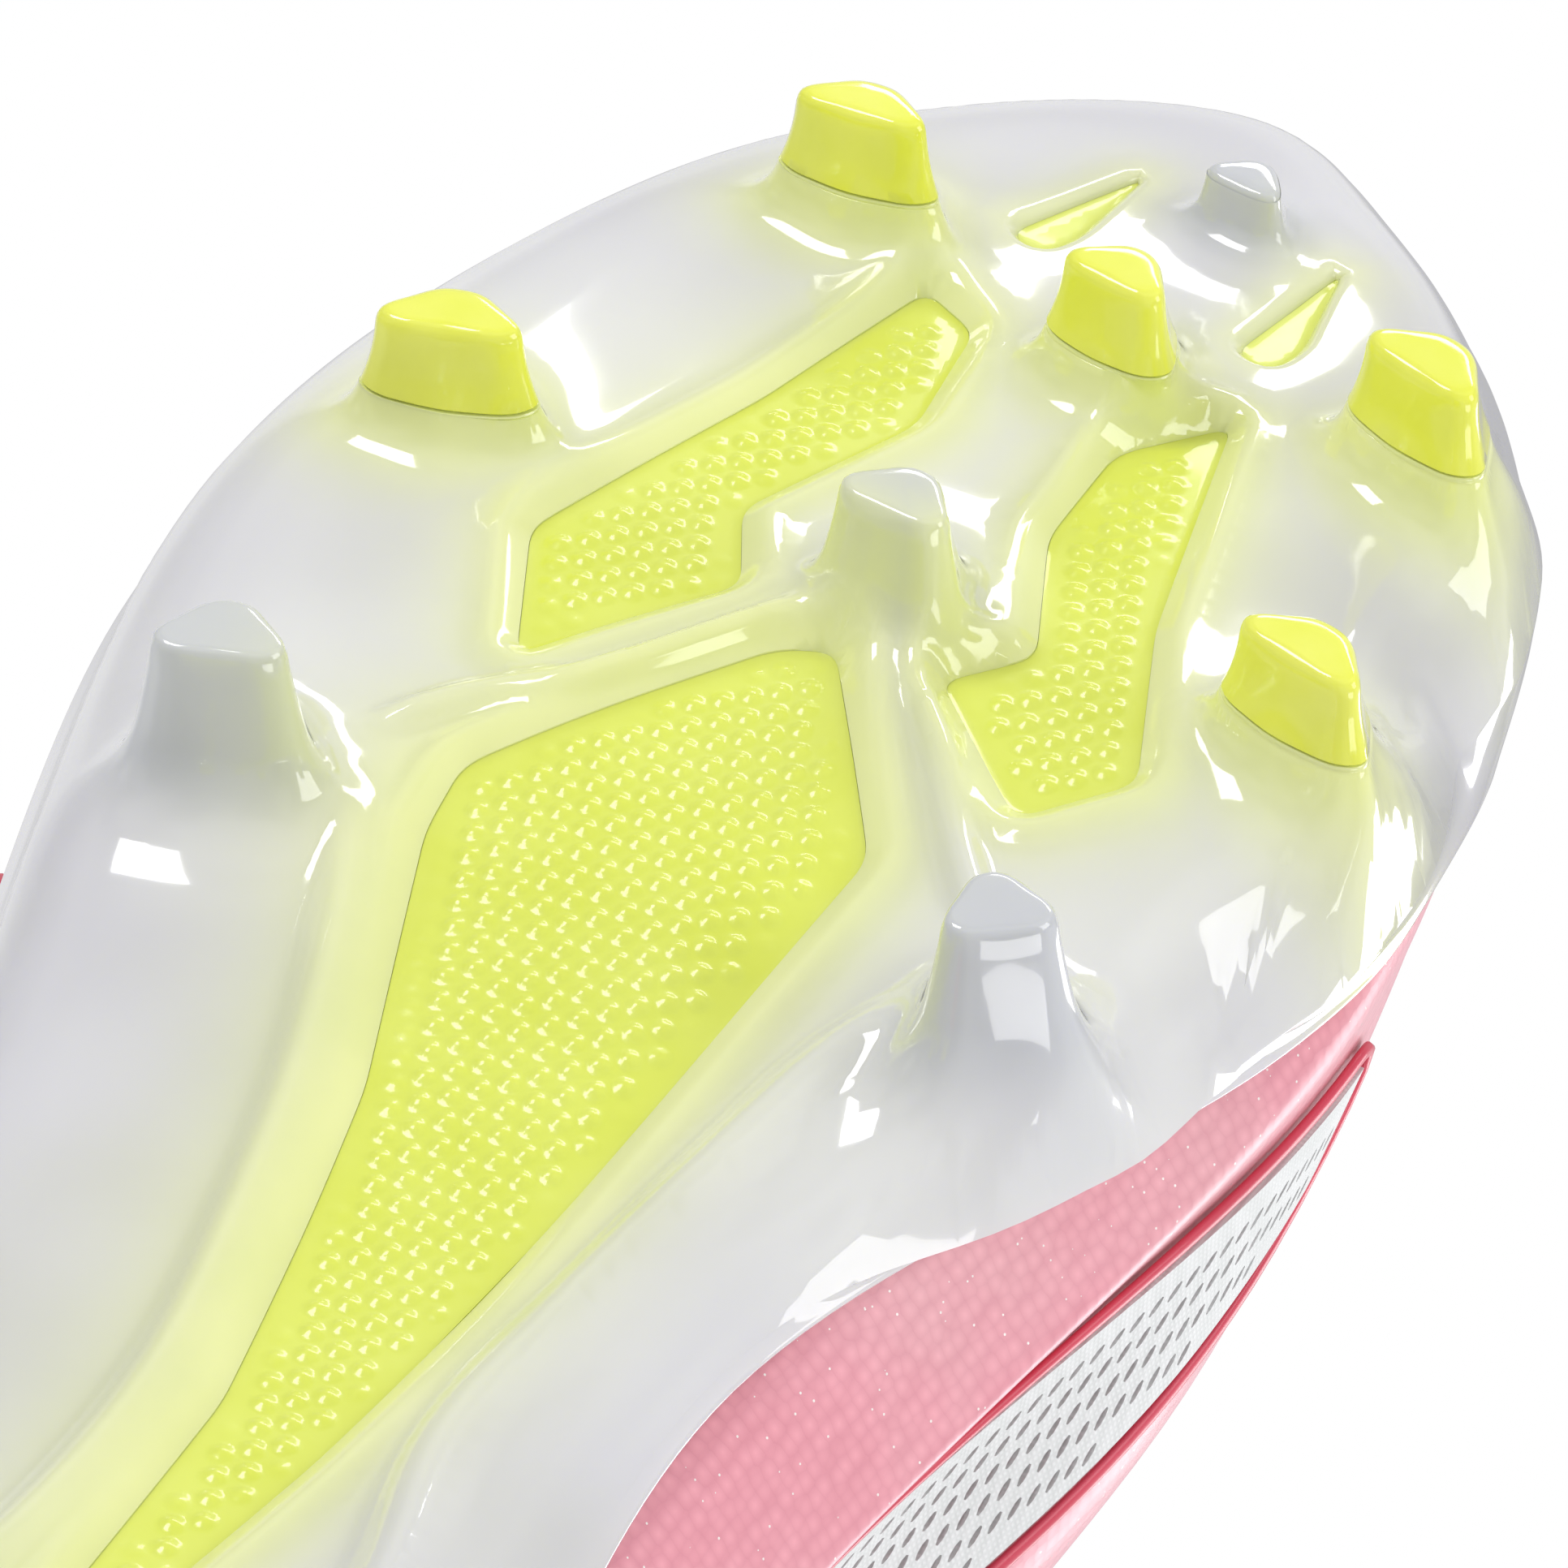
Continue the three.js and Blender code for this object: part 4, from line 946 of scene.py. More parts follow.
def make_soleplate():
    count = 420
    u = np.arange(count) / count
    rim = rim_level(u)
    swell = np.zeros(count)
    rim3 = plate_skin(u, rim)
    for stud in STUDS[:3]:
        swell = np.maximum(swell, 3.4 * np.exp(-((stud_distance(stud, rim3[:, :2]) - 1) / 11) ** 2))
    swell *= (u > 0.5)
    aside = outward_at(u, rim) * [1, 1, 0]
    aside /= np.linalg.norm(aside, axis=1, keepdims=True)
    swell = aside * swell[:, None]
    border3 = rim3 + swell
    border = border3[:, :2]
    ground = Ground(plate_depth, lambda a: rim_level(a) + 0.1)

    stud_loops = [stud_ring(s, 0.0)[:, :2] for s in STUDS]
    loops = [border, *WINDOW_LINES, *stud_loops]
    near = []
    for s in STUDS:
        for grow in (0.22, 0.5, 0.85, 1.3, 1.9, 2.6, 3.5, 4.6):
            near.append((stud_ring(s, grow)[:, :2], 1))
    for k, line in enumerate(WINDOW_LINES):
        for grow in ((0.3, 0.65, 1.05, 1.5, 2.0, 2.6, 3.2) if k < LARGE_WINDOWS else (0.3, 0.65, 1.05, 1.5)):
            near.append((offset(line, grow), 2))
    for back in (0.07, 0.15, 0.24, 0.34, 0.45, 0.57, 0.7):
        near.append((plate_skin(u, rim - back)[:, :2], 3))
    stud_pts = spaced([p for p, kind in near if kind == 1], loops, border, 0.14)
    window_pts = spaced([p for p, kind in near if kind == 2], loops, border, 0.22)
    edge_pts = spaced([p for p, kind in near if kind == 3], loops, border, 0.2)
    to_stud = np.min([stud_distance(s, window_pts) for s in STUDS], 0)
    window_pts = window_pts[to_stud > 4.9]
    to_stud = np.min([stud_distance(s, edge_pts) for s in STUDS], 0)
    to_window = np.min([distance_to(edge_pts, w) for w in WINDOW_LINES], 0)
    edge_pts = edge_pts[(to_stud > 4.9) & (to_window > 3.5)]

    low, high = border.min(0), border.max(0)
    inner = plate_skin(u, rim - 0.74)[:, :2]
    lattices = []
    ridge_lines = [smooth_line(r[0]) for r in RIDGES]
    for pitch, fine in ((0.62, True), (1.15, False)):
        points = hex_lattice(pitch, low, high, 0.3)
        points = points[inside(points, inner)]
        ridge = np.min([distance_to(points, line, closed=False) for line in ridge_lines], 0)
        stud = np.min([stud_distance(s, points) for s in STUDS], 0)
        window = np.min([distance_to(points, w) for w in WINDOW_LINES], 0)
        keep = (stud > 4.9) & (window > 3.5) & ((ridge < 5.0) == fine)
        keep &= ~np.any([inside(points, w) for w in WINDOW_LINES], axis=0)
        lattices.append(points[keep])
    free = np.concatenate([stud_pts, window_pts, edge_pts, *lattices])
    starts, runs = 0, []
    for loop in loops:
        runs.append((starts, len(loop)))
        starts += len(loop)
    plan = np.concatenate([*loops, free])
    faces = plan_faces(plan, runs, border, [*WINDOW_LINES, *stud_loops])
    moved = np.zeros(plan.shape)
    close = np.flatnonzero((plan[:, 0] > 120) & (plan[:, 1] > 8))
    apart = np.hypot(plan[close, None, 0] - border[None, :, 0], plan[close, None, 1] - border[None, :, 1])
    moved[close] = swell[apart.argmin(1), :2] * np.exp(-(apart.min(1) / 9) ** 2)[:, None]
    top = ground.at(plan, moved)
    raised = proud(plan, border, top[:, 2])
    top[:, 2] -= raised
    top[:count] = border3
    parts = [(top, faces.tolist())]

    # Side wall, rolled lip and the inner wall that the upper sits against.
    edge = plate_edge(u)
    rows = [border3]
    for s in np.linspace(0, 1, 13)[1:]:
        rows.append(plate_skin(u, rim + (edge - rim) * s) + swell * (1 - s) ** 1.5)
    outer_depth, inner_depth = plate_depth(u, edge), np.full(count, -0.8)
    middle, half = (outer_depth + inner_depth) / 2, (inner_depth - outer_depth) / 2
    for angle in np.linspace(0, math.pi, 7)[1:-1]:
        ring = skin(u, edge, middle - half * math.cos(angle))
        ahead = skin(u, edge, middle) - skin(u, edge - 0.1, middle)
        ahead /= np.linalg.norm(ahead, axis=1, keepdims=True)
        rows.append(ring + ahead * (half * math.sin(angle))[:, None])

    def seat_depth(a, level):
        return -0.8 - 1.0 * (1 - ease(0.0, 0.25, level - frame_edge(a) - 0.06))
    for s in np.linspace(1, 0, 7):
        level = rim + (edge - rim) * s
        rows.append(skin(u, level, seat_depth(u, level)))
    parts.append(strip(rows))

    # Inner face.
    seat = Ground(seat_depth, lambda a: rim_level(a) + 0.1)
    seat3 = rows[-1]
    seat_border = seat3[:, :2]
    sparse = hex_lattice(5.0, low, high)
    sparse = spaced([sparse], [seat_border, *WINDOW_LINES], seat_border, 1.5)
    seat_plan = np.concatenate([seat_border, *WINDOW_LINES, sparse])
    runs, starts = [], 0
    for loop in [seat_border, *WINDOW_LINES]:
        runs.append((starts, len(loop)))
        starts += len(loop)
    seat_faces = plan_faces(seat_plan, runs, seat_border, WINDOW_LINES)
    seat_top = seat.at(seat_plan)
    seat_top[:count] = seat3
    parts.append((seat_top, seat_faces.tolist()))

    # Window walls.
    start, seat_start = count, count
    for line in WINDOW_LINES:
        n = len(line)
        parts.append(strip([top[start:start + n], seat_top[seat_start:seat_start + n]]))
        start += n
        seat_start += n

    # Stud pillars: plain studs run down to the ground, tipped ones end at a peg.
    for stud in STUDS:
        ring0 = top[start:start + STUD_ROUND]
        start += STUD_ROUND
        tipped, tip_top, foot = stud.tipped, stud.tip_top, stud.foot
        end = tip_top + 0.12 if tipped else foot
        total = ring0[:, 2].mean() - foot
        rows = [ring0]
        for s in (0.12, 0.28, 0.5, 0.72, 0.9) if not tipped else (0.4, 0.8):
            z = ring0[:, 2] + (end + 0.25 - ring0[:, 2]) * s
            rows.append(stud_ring(stud, -STUD_FLARE * (ring0[:, 2] - z) - 0.12 * math.sin(s * 3), z))
        shrink = -STUD_FLARE * (total - (end - foot))
        if tipped:
            rows += [stud_ring(stud, shrink, end + 0.12), stud_ring(stud, shrink - 0.1, end),
                     stud_ring(stud, shrink - 2.2, end), stud_ring(stud, shrink - 2.4, end - 2.9)]
        else:
            rows += [stud_ring(stud, shrink, end + 0.7), stud_ring(stud, shrink - 0.12, end + 0.3),
                     stud_ring(stud, shrink - 0.4, end + 0.07), stud_ring(stud, shrink - 0.8, end),
                     stud_ring(stud, shrink - 1.6, end)]
        parts.append(strip(rows))
        parts.append(fan(rows[-1], [stud.x, stud.y, rows[-1][0, 2]]))

    plate = from_parts("clear_soleplate", parts)

    co = np.zeros(len(plate.data.vertices) * 3)
    plate.data.vertices.foreach_get("co", co)
    co = co.reshape(-1, 3) / MM + MIDDLE
    flat = co[:, :2]
    # Painted glow: a lime halo round the windows and the tipped studs stands for the yellow frame's and tips'
    # light seen through the clear plate, stronger lower down the tipped studs.
    glow = np.zeros(len(co))
    for k, line in enumerate(WINDOW_LINES):
        coarse = line[::3]
        d = distance_to(flat, coarse)
        if k < LARGE_WINDOWS:
            wide = 5.2 + (3.5 if k == 2 else 0) * ease(-2, 6, -flat[:, 1] - 4 * (flat[:, 0] > 160))
            here = 0.80 * np.exp(-(d / wide) ** 1.6) + 0.16 * np.exp(-(d / 14) ** 2)
        else:
            here = 0.62 * np.exp(-(d / 4.0) ** 1.6)
        glow = np.maximum(glow, here)
    for stud in STUDS:
        if stud.tipped:
            d = np.maximum(stud_distance(stud, flat), 0)
            drop = np.clip((follow(UNDERSIDE, stud.x) - co[:, 2]) / 5, 0, 1)
            glow = np.maximum(glow, (0.84 + 0.16 * drop) * np.exp(-(d / 5.6) ** 1.5))
    thick = np.zeros(len(co))
    for stud in STUDS:
        if not stud.tipped:
            d = np.maximum(stud_distance(stud, flat), 0)
            thick = np.maximum(thick, 0.75 * np.exp(-(d / 2.4) ** 1.5))
    for name, values in (("glow", glow), ("thick", thick)):
        attribute = plate.data.attributes.new(name, "FLOAT", "POINT")
        attribute.data.foreach_set("value", np.clip(values, 0, 1).astype(np.float32))
    return done(plate, "clear_plate", ["soleplate"], sharp=50)


def make_stud_tip(stud):
    """A yellow tip: rounded top and edges, slightly hollow sides, and a socket for the peg."""
    name, tip_top = stud.name, stud.tip_top
    shrink = -stud_root(stud)
    wide = shrink + STUD_FLARE * tip_top
    profile = [(wide - 2.05, tip_top - 3.2), (wide - 1.95, tip_top - 0.02), (wide - 0.12, tip_top - 0.02),
               (wide, tip_top - 0.16)]
    for s in (0.85, 0.7, 0.55, 0.4, 0.26):
        profile.append((shrink + (wide - shrink) * s - 0.3 * math.sin(math.pi * s), tip_top * s))
    profile += [(shrink + 0.05, 1.15), (shrink - 0.08, 0.65), (shrink - 0.3, 0.28), (shrink - 0.65, 0.07),
                (shrink - 1.1, 0.0), (shrink - 1.8, 0.0)]
    rings = [stud_ring(stud, grow, z) for grow, z in profile]
    parts = [strip(rings), fan(rings[0], [stud.x, stud.y, rings[0][0, 2]]),
             fan(rings[-1], [stud.x, stud.y, 0.0])]
    tip = from_parts("yellow_tip_" + name, parts)
    return done(tip, "yellow_tip", ["stud_tip_" + name], sharp=50)


# The frame's two faces, below the upper's outer face.
FRAME_OUT, FRAME_IN = -1.5, -0.35
# The dots stand at whole numbers of these two steps.
DOT_STEPS = np.array([(1.48, 1.65), (-2.23, 0.94)])
DOT_HEIGHT, DOT_RADIUS = 0.4, 0.86


def make_stiffening_frame():
    """A thin sheet under the upper, with a thick pad in each window; three pads have raised dots."""
    count = 300
    u = np.arange(count) / count
    edge = frame_edge(u)

    def outer_depth(a, _):
        return np.full(np.shape(a), FRAME_OUT)

    def inner_depth(a, _):
        return np.full(np.shape(a), FRAME_IN)
    border3 = skin(u, edge, FRAME_OUT)
    inner3 = skin(u, edge, FRAME_IN)
    border = border3[:, :2]
    outer, inner = Ground(outer_depth, frame_edge), Ground(inner_depth, frame_edge)
    pads = [offset(line, -0.02) for line in WINDOW_LINES]
    low, high = border.min(0), border.max(0)
    sparse = spaced([hex_lattice(5.5, low, high)], [border, *pads], border, 1.2)
    sheet_plan = np.concatenate([border, *pads, sparse])
    runs, starts = [], 0
    for loop in [border, *pads]:
        runs.append((starts, len(loop)))
        starts += len(loop)
    faces = plan_faces(sheet_plan, runs, border, pads)
    sheet = outer.at(sheet_plan)
    sheet[:count] = border3
    parts = [(sheet, faces.tolist())]
    under_plan = np.concatenate([inner3[:, :2], spaced([hex_lattice(5.5, low, high)], [inner3[:, :2]],
                                                       inner3[:, :2], 1.2)])
    under = inner.at(under_plan)
    under[:count] = inner3
    parts.append((under, plan_faces(under_plan, [(0, count)], inner3[:, :2], []).tolist()))
    parts.append(strip([border3, inner3]))

    turn = math.radians(42)
    start = count
    for k, pad in enumerate(pads):
        dotted = k < LARGE_WINDOWS
        lo, hi = pad.min(0), pad.max(0)
        fill = hex_lattice(0.43 if dotted else 0.9, lo, hi, turn)
        rings = np.concatenate([offset(pad, -0.25), offset(pad, -0.55)])
        fill = fill[inside(fill, pad)]
        fill = fill[distance_to(fill, pad) > 0.8]
        rings = rings[inside(rings, pad)]
        rings = rings[distance_to(rings, pad) > 0.15]
        plan = np.concatenate([pad, rings, fill])
        pad_faces = plan_faces(plan, [(0, len(pad))], pad, [])
        top = outer.at(plan)
        edge_gap = distance_to(plan, pad)
        rise = 1.9 + 0.14 * (1 - ease(0, 0.5, edge_gap))
        if dotted:
            count_ab = plan @ np.linalg.inv(DOT_STEPS)
            best = np.full(len(plan), 9.0)
            centre_gap = np.zeros(len(plan))
            for shift in ((0, 0), (1, 0), (0, 1), (1, 1)):
                centre = (np.floor(count_ab) + shift) @ DOT_STEPS
                d = np.hypot(*(plan - centre).T)
                gap = distance_to(centre, pad) * np.where(inside(centre, pad), 1, -1)
                centre_gap = np.where(d < best, gap, centre_gap)
                best = np.minimum(best, d)
            size = ease(1.2, 2.8, centre_gap)
            rise = rise + DOT_HEIGHT * size * np.clip(1 - (best / DOT_RADIUS) ** 2, 0, 1) ** 0.9
        top[:, 2] -= rise
        parts.append((top, pad_faces.tolist()))
        parts.append(strip([top[:len(pad)], sheet[start:start + len(pad)]]))
        start += len(pad)
    made = from_parts("yellow_stiffening_frame", parts)
    return done(made, "yellow_frame", ["stiffening_frame"], sharp=60)


make_soleplate()
make_stiffening_frame()
for entry in STUDS:
    if entry.tipped:
        make_stud_tip(entry)


# ---------------------------------------------------------------------------
# Upper, collar, linings and footbed
# ---------------------------------------------------------------------------
def shell(name, columns, rows, place, thickness, sharp_edges=0.0002):
    """A sheet round the boot, given its thickness and a fine bevel along its edges."""
    piece = wrapped_grid(name, columns, rows, place)
    close_merge(piece)
    outward_sheet(piece)
    modify(piece, "SOLIDIFY", thickness=thickness * MM, offset=-1, use_even_offset=False)
    if sharp_edges:
        modify(piece, "BEVEL", width=sharp_edges, segments=2, limit_method="ANGLE",
               angle_limit=math.radians(60))
    return piece


def close_merge(piece):
    """Merges the meeting rows, and leaves thin faces alone."""
    only(piece)
    bpy.ops.object.mode_set(mode="EDIT")
    bpy.ops.mesh.select_all(action="SELECT")
    bpy.ops.mesh.remove_doubles(threshold=2e-6)
    bpy.ops.mesh.normals_make_consistent(inside=False)
    bpy.ops.object.mode_set(mode="OBJECT")


def upper_place(s, t):
    top = collar_edge(s) - 0.004
    return skin(s, 1.2 + (top - 1.2) * t, np.zeros_like(s))


upper = shell("knit_upper_shell", 360, 70, upper_place, 1.2, 0.00015)
done(upper, "coated_knit", ["knit_upper"], sharp=50)

RIBS = 140


def collar_place(s, t):
    """Up the outside, over the rolled top line and a little way down inside."""
    back = 1 - ease(0.19, 0.30, np.minimum(s, 1 - s))
    roll = 0.9 + 2.3 * back
    low = collar_edge(s)
    rise = np.clip(t / 0.7, 0, 1)
    angle = np.clip((t - 0.7) / 0.18, 0, 1) * math.pi
    inward = np.clip((t - 0.88) / 0.12, 0, 1)
    level = low + (6.86 - low) * rise - 0.32 * inward
    puff = (0.75 * np.sin(np.pi * np.clip(rise, 0, 1)) ** 0.8 * (back * 0.9 + 0.1)) * (1 - ease(0, 1, inward))
    ribs = 0.13 * np.sin(2 * math.pi * RIBS * s) * ease(0.0, 0.06, t)
    point = skin(s, level, roll * (1 - np.cos(angle)) - puff - ribs * np.cos(angle))
    point[..., 2] += roll * np.sin(angle) * 1.05
    return point


collar = shell("knit_collar_cuff", RIBS * 6, 34, collar_place, 0.55, 0)
done(collar, "collar_knit", ["knit_collar"], sharp=60)


def lining_depth(level):
    rising = np.clip((level - 4.5) / 0.5, 0, 1)
    return 3.0 + rising * (5.2 - 3.0)


def quarter_place(s, t):
    u = (-11 + 22 * s) / STEPS
    level = 2.2 + (6.62 - 2.2) * t
    back = 1 - ease(0.19, 0.262, np.abs(u))
    return skin(u, level, lining_depth(level) + 0.9 * ease(6.0, 6.5, level) * back)


def vamp_place(s, t):
    u = (12 + 18 * s) / STEPS
    top = collar_edge(u) - 0.1
    return skin(u, 2.2 + (top - 2.2) * t, np.full_like(s, 2.5))


done(shell("quarter_lining_cloth", 110, 40, quarter_place, 0.5, 0), "lining_cloth", ["quarter_lining"])
done(shell("vamp_lining_cloth", 100, 40, vamp_place, 0.5, 0), "lining_cloth", ["vamp_lining"])


def foam_place(s, t):
    """The collar's foam, one closed crowned roll: out along its outer face and back along the inner one."""
    u = (-9 + 18 * s) / STEPS
    around = 2 * math.pi * t
    level = 5.88 - 0.84 * np.cos(around)
    ends = np.sqrt(np.clip(1 - (2 * s - 1) ** 10, 0.0, 1))
    return skin(u, level, 3.15 - 1.5 * np.sign(np.sin(around)) * np.abs(np.sin(around)) ** 0.6 * ends)


foam_roll = wrapped_grid("collar_foam_roll", 96, 28, foam_place)
close_up(foam_roll)
only(foam_roll)
bpy.ops.object.mode_set(mode="EDIT")
bpy.ops.mesh.select_all(action="SELECT")
bpy.ops.mesh.fill_holes(sides=0)
bpy.ops.mesh.normals_make_consistent(inside=False)
bpy.ops.object.mode_set(mode="OBJECT")
done(foam_roll, "padding_foam", ["collar_foam"])


def sole_sheet(name, edge, depth, thickness, crown=0.0):
    """A sheet over the whole inside of the sole, closed across the middle."""
    count, levels = 168, 16
    u = np.arange(count) / count
    rows = []
    for level in np.linspace(0.3, edge, levels):
        ring = skin(u, np.full(count, level), np.full(count, depth + thickness / 2))
        ring[:, 2] += crown * (level / edge) ** 4
        rows.append(ring)
    points, faces = strip(rows)
    faces += [[k, k + 1, count - k - 1, (count - k) % count] for k in range(1, count // 2 - 1)]
    faces += [[0, 1, count - 1], [count // 2 - 1, count // 2, count // 2 + 1]]
    mesh = bpy.data.meshes.new(name)
    mesh.from_pydata(placed(points).tolist(), [], faces)
    piece = bpy.data.objects.new(name, mesh)
    bpy.context.scene.collection.objects.link(piece)
    close_merge(piece)
    modify(piece, "SOLIDIFY", thickness=thickness * MM, offset=0, use_even_offset=False)
    modify(piece, "BEVEL", width=min(0.3, thickness * 0.3) * MM, segments=2, limit_method="ANGLE",
           angle_limit=math.radians(60))
    close_up(piece)
    return piece


footbed = sole_sheet("sockliner_foam_footbed", 1.6, 2.8, 3.5, 0.8)
done(footbed, "footbed_foam", ["sockliner_foam"])
done(sole_sheet("sockliner_top_cloth", 1.55, 6.6, 0.5, 0.8), "footbed_cloth", ["sockliner_cloth"])


# ---------------------------------------------------------------------------
# Trims: vent panels with real holes, piping, backstay, pull tabs
# ---------------------------------------------------------------------------
VENT_FROM = 6 / STEPS
HOLE_ROUND, HOLE_RADIUS = 8, 0.52
# Name, way round from the heel, lower edge's level, and the turn where the panel ends.
VENTS = [("lateral", 1, 4.0, 11 / STEPS), ("medial", -1, 4.12, 12.6 / STEPS)]


def vent_height(s):
    return 0.3 + 1.1 * np.cos(np.clip(s, 0, 1) * math.pi / 2) ** 0.8


def vent_skin(side, low, until, s, t, depth):
    u = side * (VENT_FROM + (until - VENT_FROM) * s)
    return skin(u, low + vent_height(s) * t, depth)


def make_vent(name, side, low, until):
    """White cloth with staggered round holes, cut right through."""
    along = vent_skin(side, low, until, np.linspace(0, 1, 40), 0.5, np.zeros(40))
    upward = vent_skin(side, low, until, 0.02, np.linspace(0, 1, 20), np.zeros(20))
    long, tall = (np.linalg.norm(np.diff(way, axis=0), axis=1).sum() for way in (along, upward))

    def height(x):
        return tall * vent_height(x / long) / vent_height(0.0)
    n = 90
    xs = np.linspace(0, long, n)
    border = np.concatenate([np.stack([xs, np.zeros(n)], 1), np.stack([xs[::-1], height(xs[::-1])], 1)])
    border = evenly(border, 0.9)
    holes = []
    ways = np.linspace(0, 2 * math.pi, HOLE_ROUND, endpoint=False)
    for x, y in hex_lattice(2.1, (1.6, 1.2), (long - 1.5, tall), 0.0):
        if 1.2 < y < height(x) - 1.25:
            holes.append(np.stack([x + HOLE_RADIUS * np.cos(ways), y + HOLE_RADIUS * np.sin(ways)], 1))
    points = np.concatenate([border, *holes])
    runs = [(0, len(border))] + [(len(border) + HOLE_ROUND * i, HOLE_ROUND) for i in range(len(holes))]
    edges = [(start + i, start + (i + 1) % count) for start, count in runs for i in range(count)]
    fill = hex_lattice(1.05, (0, 0), (long, tall))
    fill = fill[inside(fill, border) & (distance_to(fill, border) > 0.4)]
    middles = np.array([h.mean(0) for h in holes])

    def to_hole(places):
        return np.min(np.hypot(*(places[:, None] - middles[None]).transpose(2, 0, 1)), 1)
    points = np.concatenate([points, fill[to_hole(fill) > 0.8]])
    made = delaunay_2d_cdt([Vector(p) for p in points], edges, [], 0, 1e-6, True)
    source = [ids[0] if ids else -1 for ids in made[3]]
    faces = np.array([[source[i] for i in f] for f in made[2] if len(f) == 3])
    middle = points[faces].mean(1)
    faces = faces[inside(middle, border) & (to_hole(middle) > 0.42)]
    s = points[:, 0] / long
    t = points[:, 1] / height(points[:, 0])
    cloth = vent_skin(side, low, until, s, np.clip(t, 0, 1), np.full(len(s), -1.0))
    panel = from_parts("vent_cloth_" + name, [(cloth, faces.tolist())])
    outward_sheet(panel)
    normal = np.array([f.normal for f in panel.data.polygons])
    if np.sum(normal[:, 1] * -side) < 0:
        panel.data.flip_normals()
    modify(panel, "SOLIDIFY", thickness=0.7 * MM, offset=-1, use_even_offset=False)
    return done(panel, "perforated_panel", ["vent_panel_" + name])


def make_piping(name, side, low, until):
    """A rounded welt round the panel."""
    shares = np.linspace(0, 1, 60)
    start, span = VENT_FROM, until - VENT_FROM
    lower = [(side * (start + s * span), low - 0.10) for s in shares]
    upper = [(side * (start + s * span), low + float(vent_height(s)) + 0.10) for s in shares[::-1]]
    reach = 0.22 / STEPS
    front = [(side * (start + span + reach), low + k * 0.3) for k in (0.1, 0.5, 0.9)]
    rear = [(side * (start - reach), low + k * float(vent_height(0.0))) for k in np.linspace(0.95, 0.05, 12)]
    path = np.array(lower + front + upper + rear)
    centres = skin(path[:, 0], path[:, 1], np.full(len(path), -0.75))
    for _ in range(3):
        centres = (np.roll(centres, 1, 0) + 2 * centres + np.roll(centres, -1, 0)) / 4
    out = outward_at(path[:, 0], path[:, 1])
    ahead = np.roll(centres, -1, 0) - np.roll(centres, 1, 0)
    ahead /= np.linalg.norm(ahead, axis=1, keepdims=True)
    aside = np.cross(ahead, out)
    aside /= np.linalg.norm(aside, axis=1, keepdims=True)
    out = np.cross(aside, ahead)

    def place(s, t):
        i = np.round(s * len(path)).astype(int) % len(path)
        way = t * 2 * math.pi
        flat = 0.7 * np.sign(np.cos(way)) * np.abs(np.cos(way)) ** 0.8
        high = 0.42 * np.sin(way)
        return centres[i] + aside[i] * flat[:, None] + out[i] * high[:, None]
    welt = wrapped_grid("vent_welt_" + name, len(path), 12, place)
    close_up(welt)
    return done(welt, "red_piping", ["vent_piping_" + name])


for vent in VENTS:
    make_vent(*vent)
    make_piping(*vent)


def backstay_place(s, t):
    u = (-2 + 4 * s) / STEPS
    narrow = 1 - 0.35 * ease(0.0, 1.0, t)
    return skin(u * narrow, 4 + 2.5 * t, np.full_like(s, -0.95))


backstay = shell("heel_backstay_film", 24, 48, backstay_place, 0.65, 0.0002)
done(backstay, "coated_trim", ["heel_backstay"])

TAB_WIDE, TAB_THICK = 14.0, 1.3


def tab_frame(u, start):
    foot = last_point(u, start)
    up = last_point(u, 7.0) - foot
    up[1] = 0
    up /= np.linalg.norm(up)
    aside = np.array([0, -1.0 if u > 0.25 else 1.0, 0])
    return foot, up, aside, np.cross(up, aside)


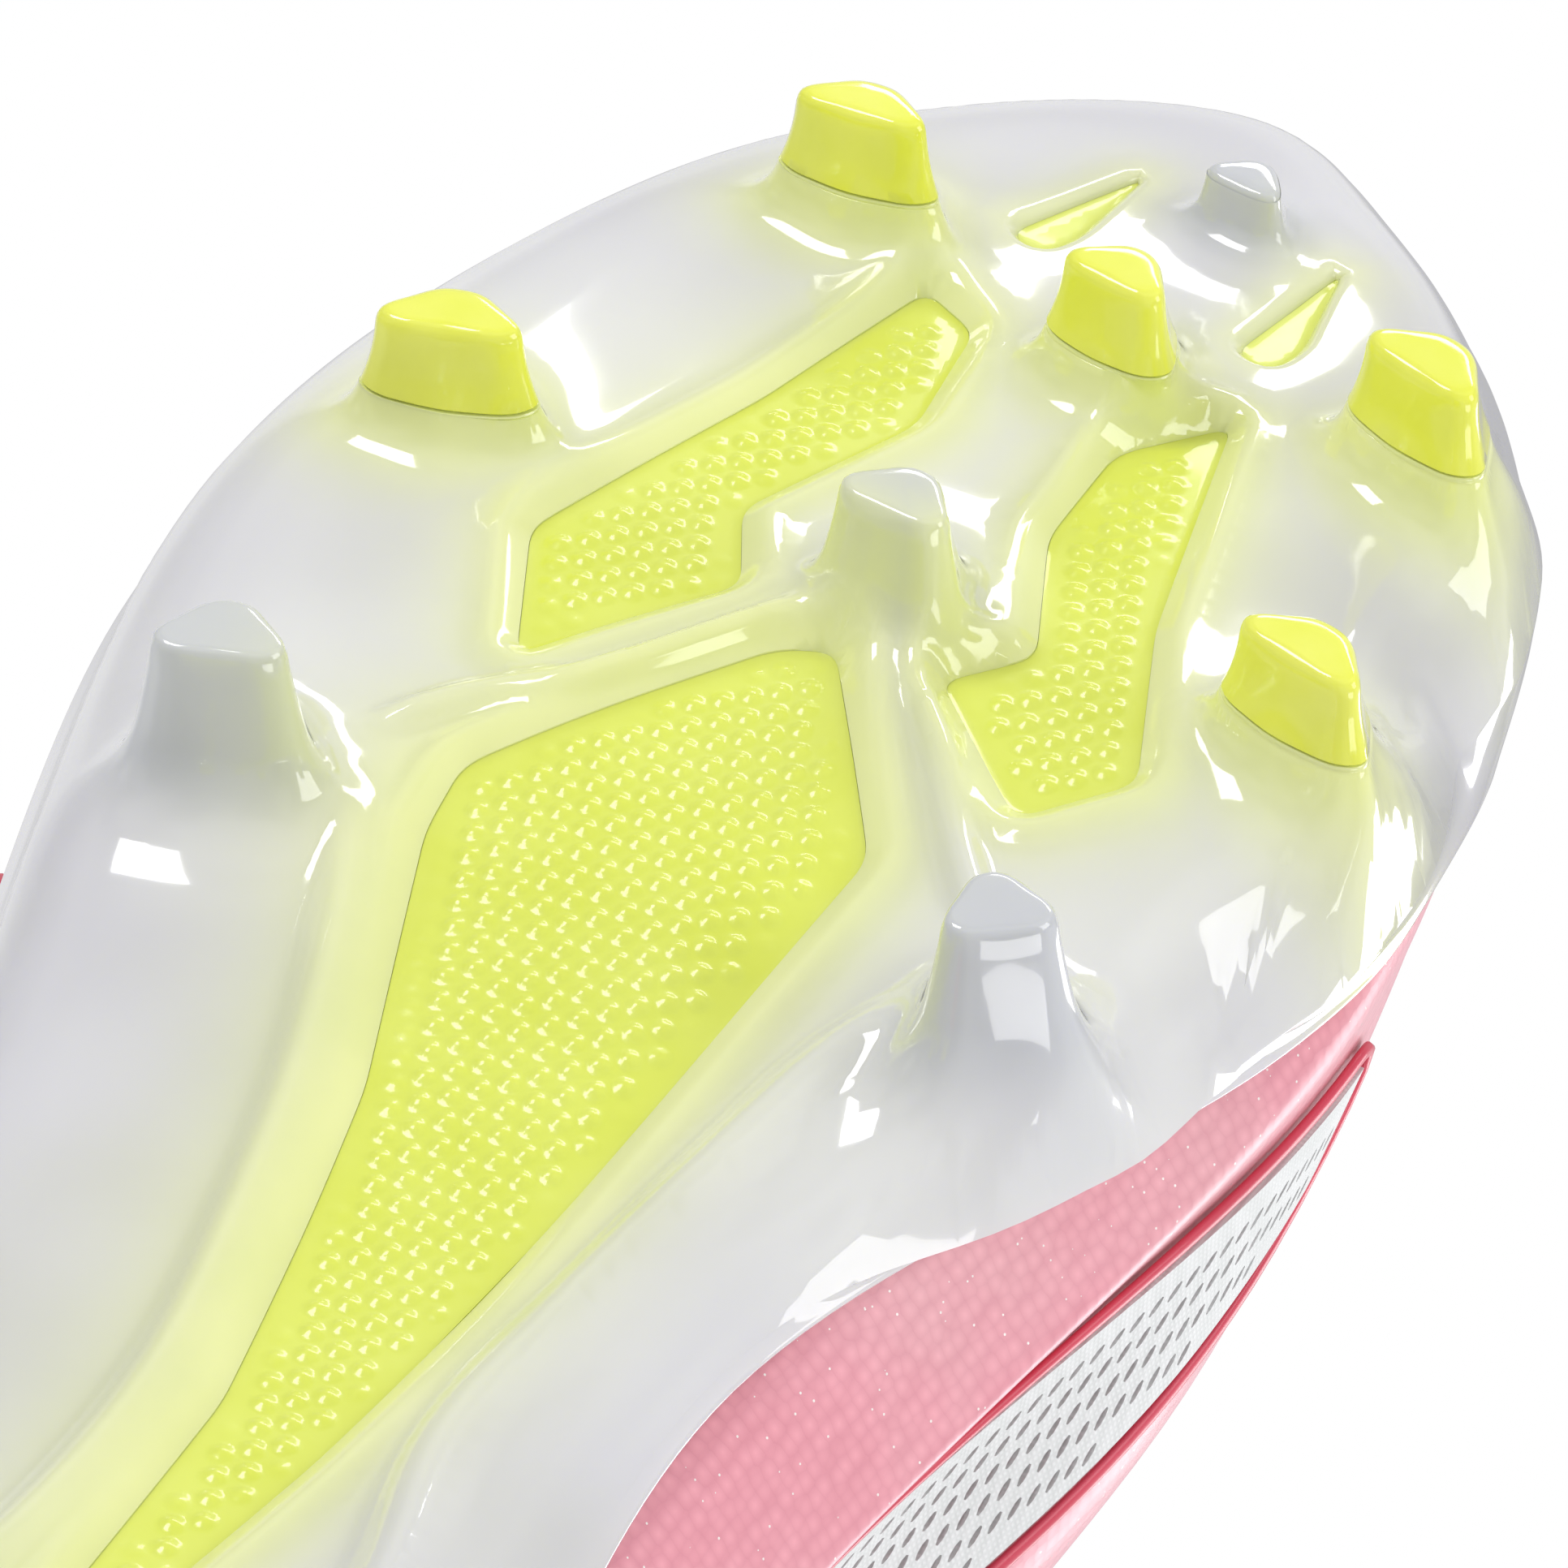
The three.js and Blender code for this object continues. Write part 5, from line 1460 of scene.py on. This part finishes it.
def make_tab(name, body, u, start, length, slot, under):
    """A loop of webbing sewn down at its foot, with a row of stitches across and a box of them below."""
    foot, up, aside, out = tab_frame(np.float64(u), np.float64(start))
    half = slot / 2 + TAB_THICK / 2
    shift = under + 0.5 + slot / 2 + TAB_THICK
    straight = length - 2 * (slot / 2 + TAB_THICK)
    total = 2 * straight + 2 * math.pi * half
    ends = np.array([straight, math.pi * half, straight, math.pi * half])
    stops = np.concatenate([[0], np.cumsum(ends)])

    def loop(q):
        """Middle line of the webbing: (out, up) for a length round the loop."""
        k = np.clip(np.searchsorted(stops, q, side="right") - 1, 0, 3)
        d = q - stops[k]
        base = slot / 2 + TAB_THICK
        angle = d / half
        x = np.select([k == 0, k == 1, k == 2], [np.full_like(q, half), half * np.cos(angle),
                                                 np.full_like(q, -half)], -half * np.cos(angle))
        z = np.select([k == 0, k == 1, k == 2], [base + d, base + straight + half * np.sin(angle),
                                                 base + straight - d], base - half * np.sin(angle))
        return x, z

    def place(s, t):
        q = (s % 1.0) * total
        x, z = loop(q)
        near = loop((q + 0.05) % total)
        far = loop((q - 0.05) % total)
        tx, tz = near[0] - far[0], near[1] - far[1]
        norm = np.hypot(tx, tz)
        nx, nz = tz / norm, -tx / norm
        way = t * 2 * math.pi
        across = np.sign(np.cos(way)) * np.abs(np.cos(way)) ** 0.35 * (TAB_WIDE / 2)
        thick = np.sign(np.sin(way)) * np.abs(np.sin(way)) ** 0.35 * (TAB_THICK / 2) * 0.94
        return (foot + out * (shift + x + nx * thick)[:, None] + up * (z + nz * thick)[:, None]
                + aside * across[:, None])
    tab = wrapped_grid(name + "_webbing", 160, 36, place)
    close_up(tab)
    done(tab, "webbing", [name], body=body, sharp=50)

    rows = []
    for across in (-4.8, -2.9, -1.0, 1.0, 2.9, 4.8):
        for high in (4.6, 7.4):
            rows.append((across, high, 0.0))
    for high in (5.3, 6.7):
        for across in (-5.6, 5.6):
            rows.append((across, high, math.pi / 2))
    bpy.ops.mesh.primitive_cylinder_add(vertices=8, radius=0.28, depth=1.5)
    model = bpy.context.object
    bpy.ops.object.mode_set(mode="EDIT")
    bpy.ops.mesh.select_all(action="SELECT")
    bpy.ops.mesh.bevel(offset=0.12, segments=2)
    bpy.ops.object.mode_set(mode="OBJECT")
    shape = np.array([v.co for v in model.data.vertices])
    polygons = [list(f.vertices) for f in model.data.polygons]
    bpy.data.objects.remove(model)
    parts = []
    face = shift + half + TAB_THICK / 2
    for across, high, turn in rows:
        along = aside * math.cos(turn) + up * math.sin(turn)
        other = np.cross(out, along)
        middle = foot + out * (face + 0.02) + up * high + aside * across
        parts.append((middle + shape[:, 2:3] * along + shape[:, 0:1] * out * 0.8 + shape[:, 1:2] * other,
                      polygons))
    stitches = from_parts(name + "_stitching", parts)
    done(stitches, "red_piping", body=body)


make_tab("heel_pull_tab", "heel_tab", 0.0, 6.0, 31.0, 5.0, 1.0)
make_tab("instep_pull_tab", "instep_tab", 0.5, 6.45, 36.0, 4.6, 0.0)

# ---------------------------------------------------------------------------
# Hidden pieces keep their CAD shape and get their real finish.
# ---------------------------------------------------------------------------
for name, slot in (("bottom_filler", "filler_foam"), ("lasting_board", "board_fleece"),
                   ("heel_counter", "heel_stiffener"), ("toe_puff", "toe_stiffener")):
    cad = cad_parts[name]
    cad.data.materials.clear()
    cad.data.materials.append(FINISHES[slot])
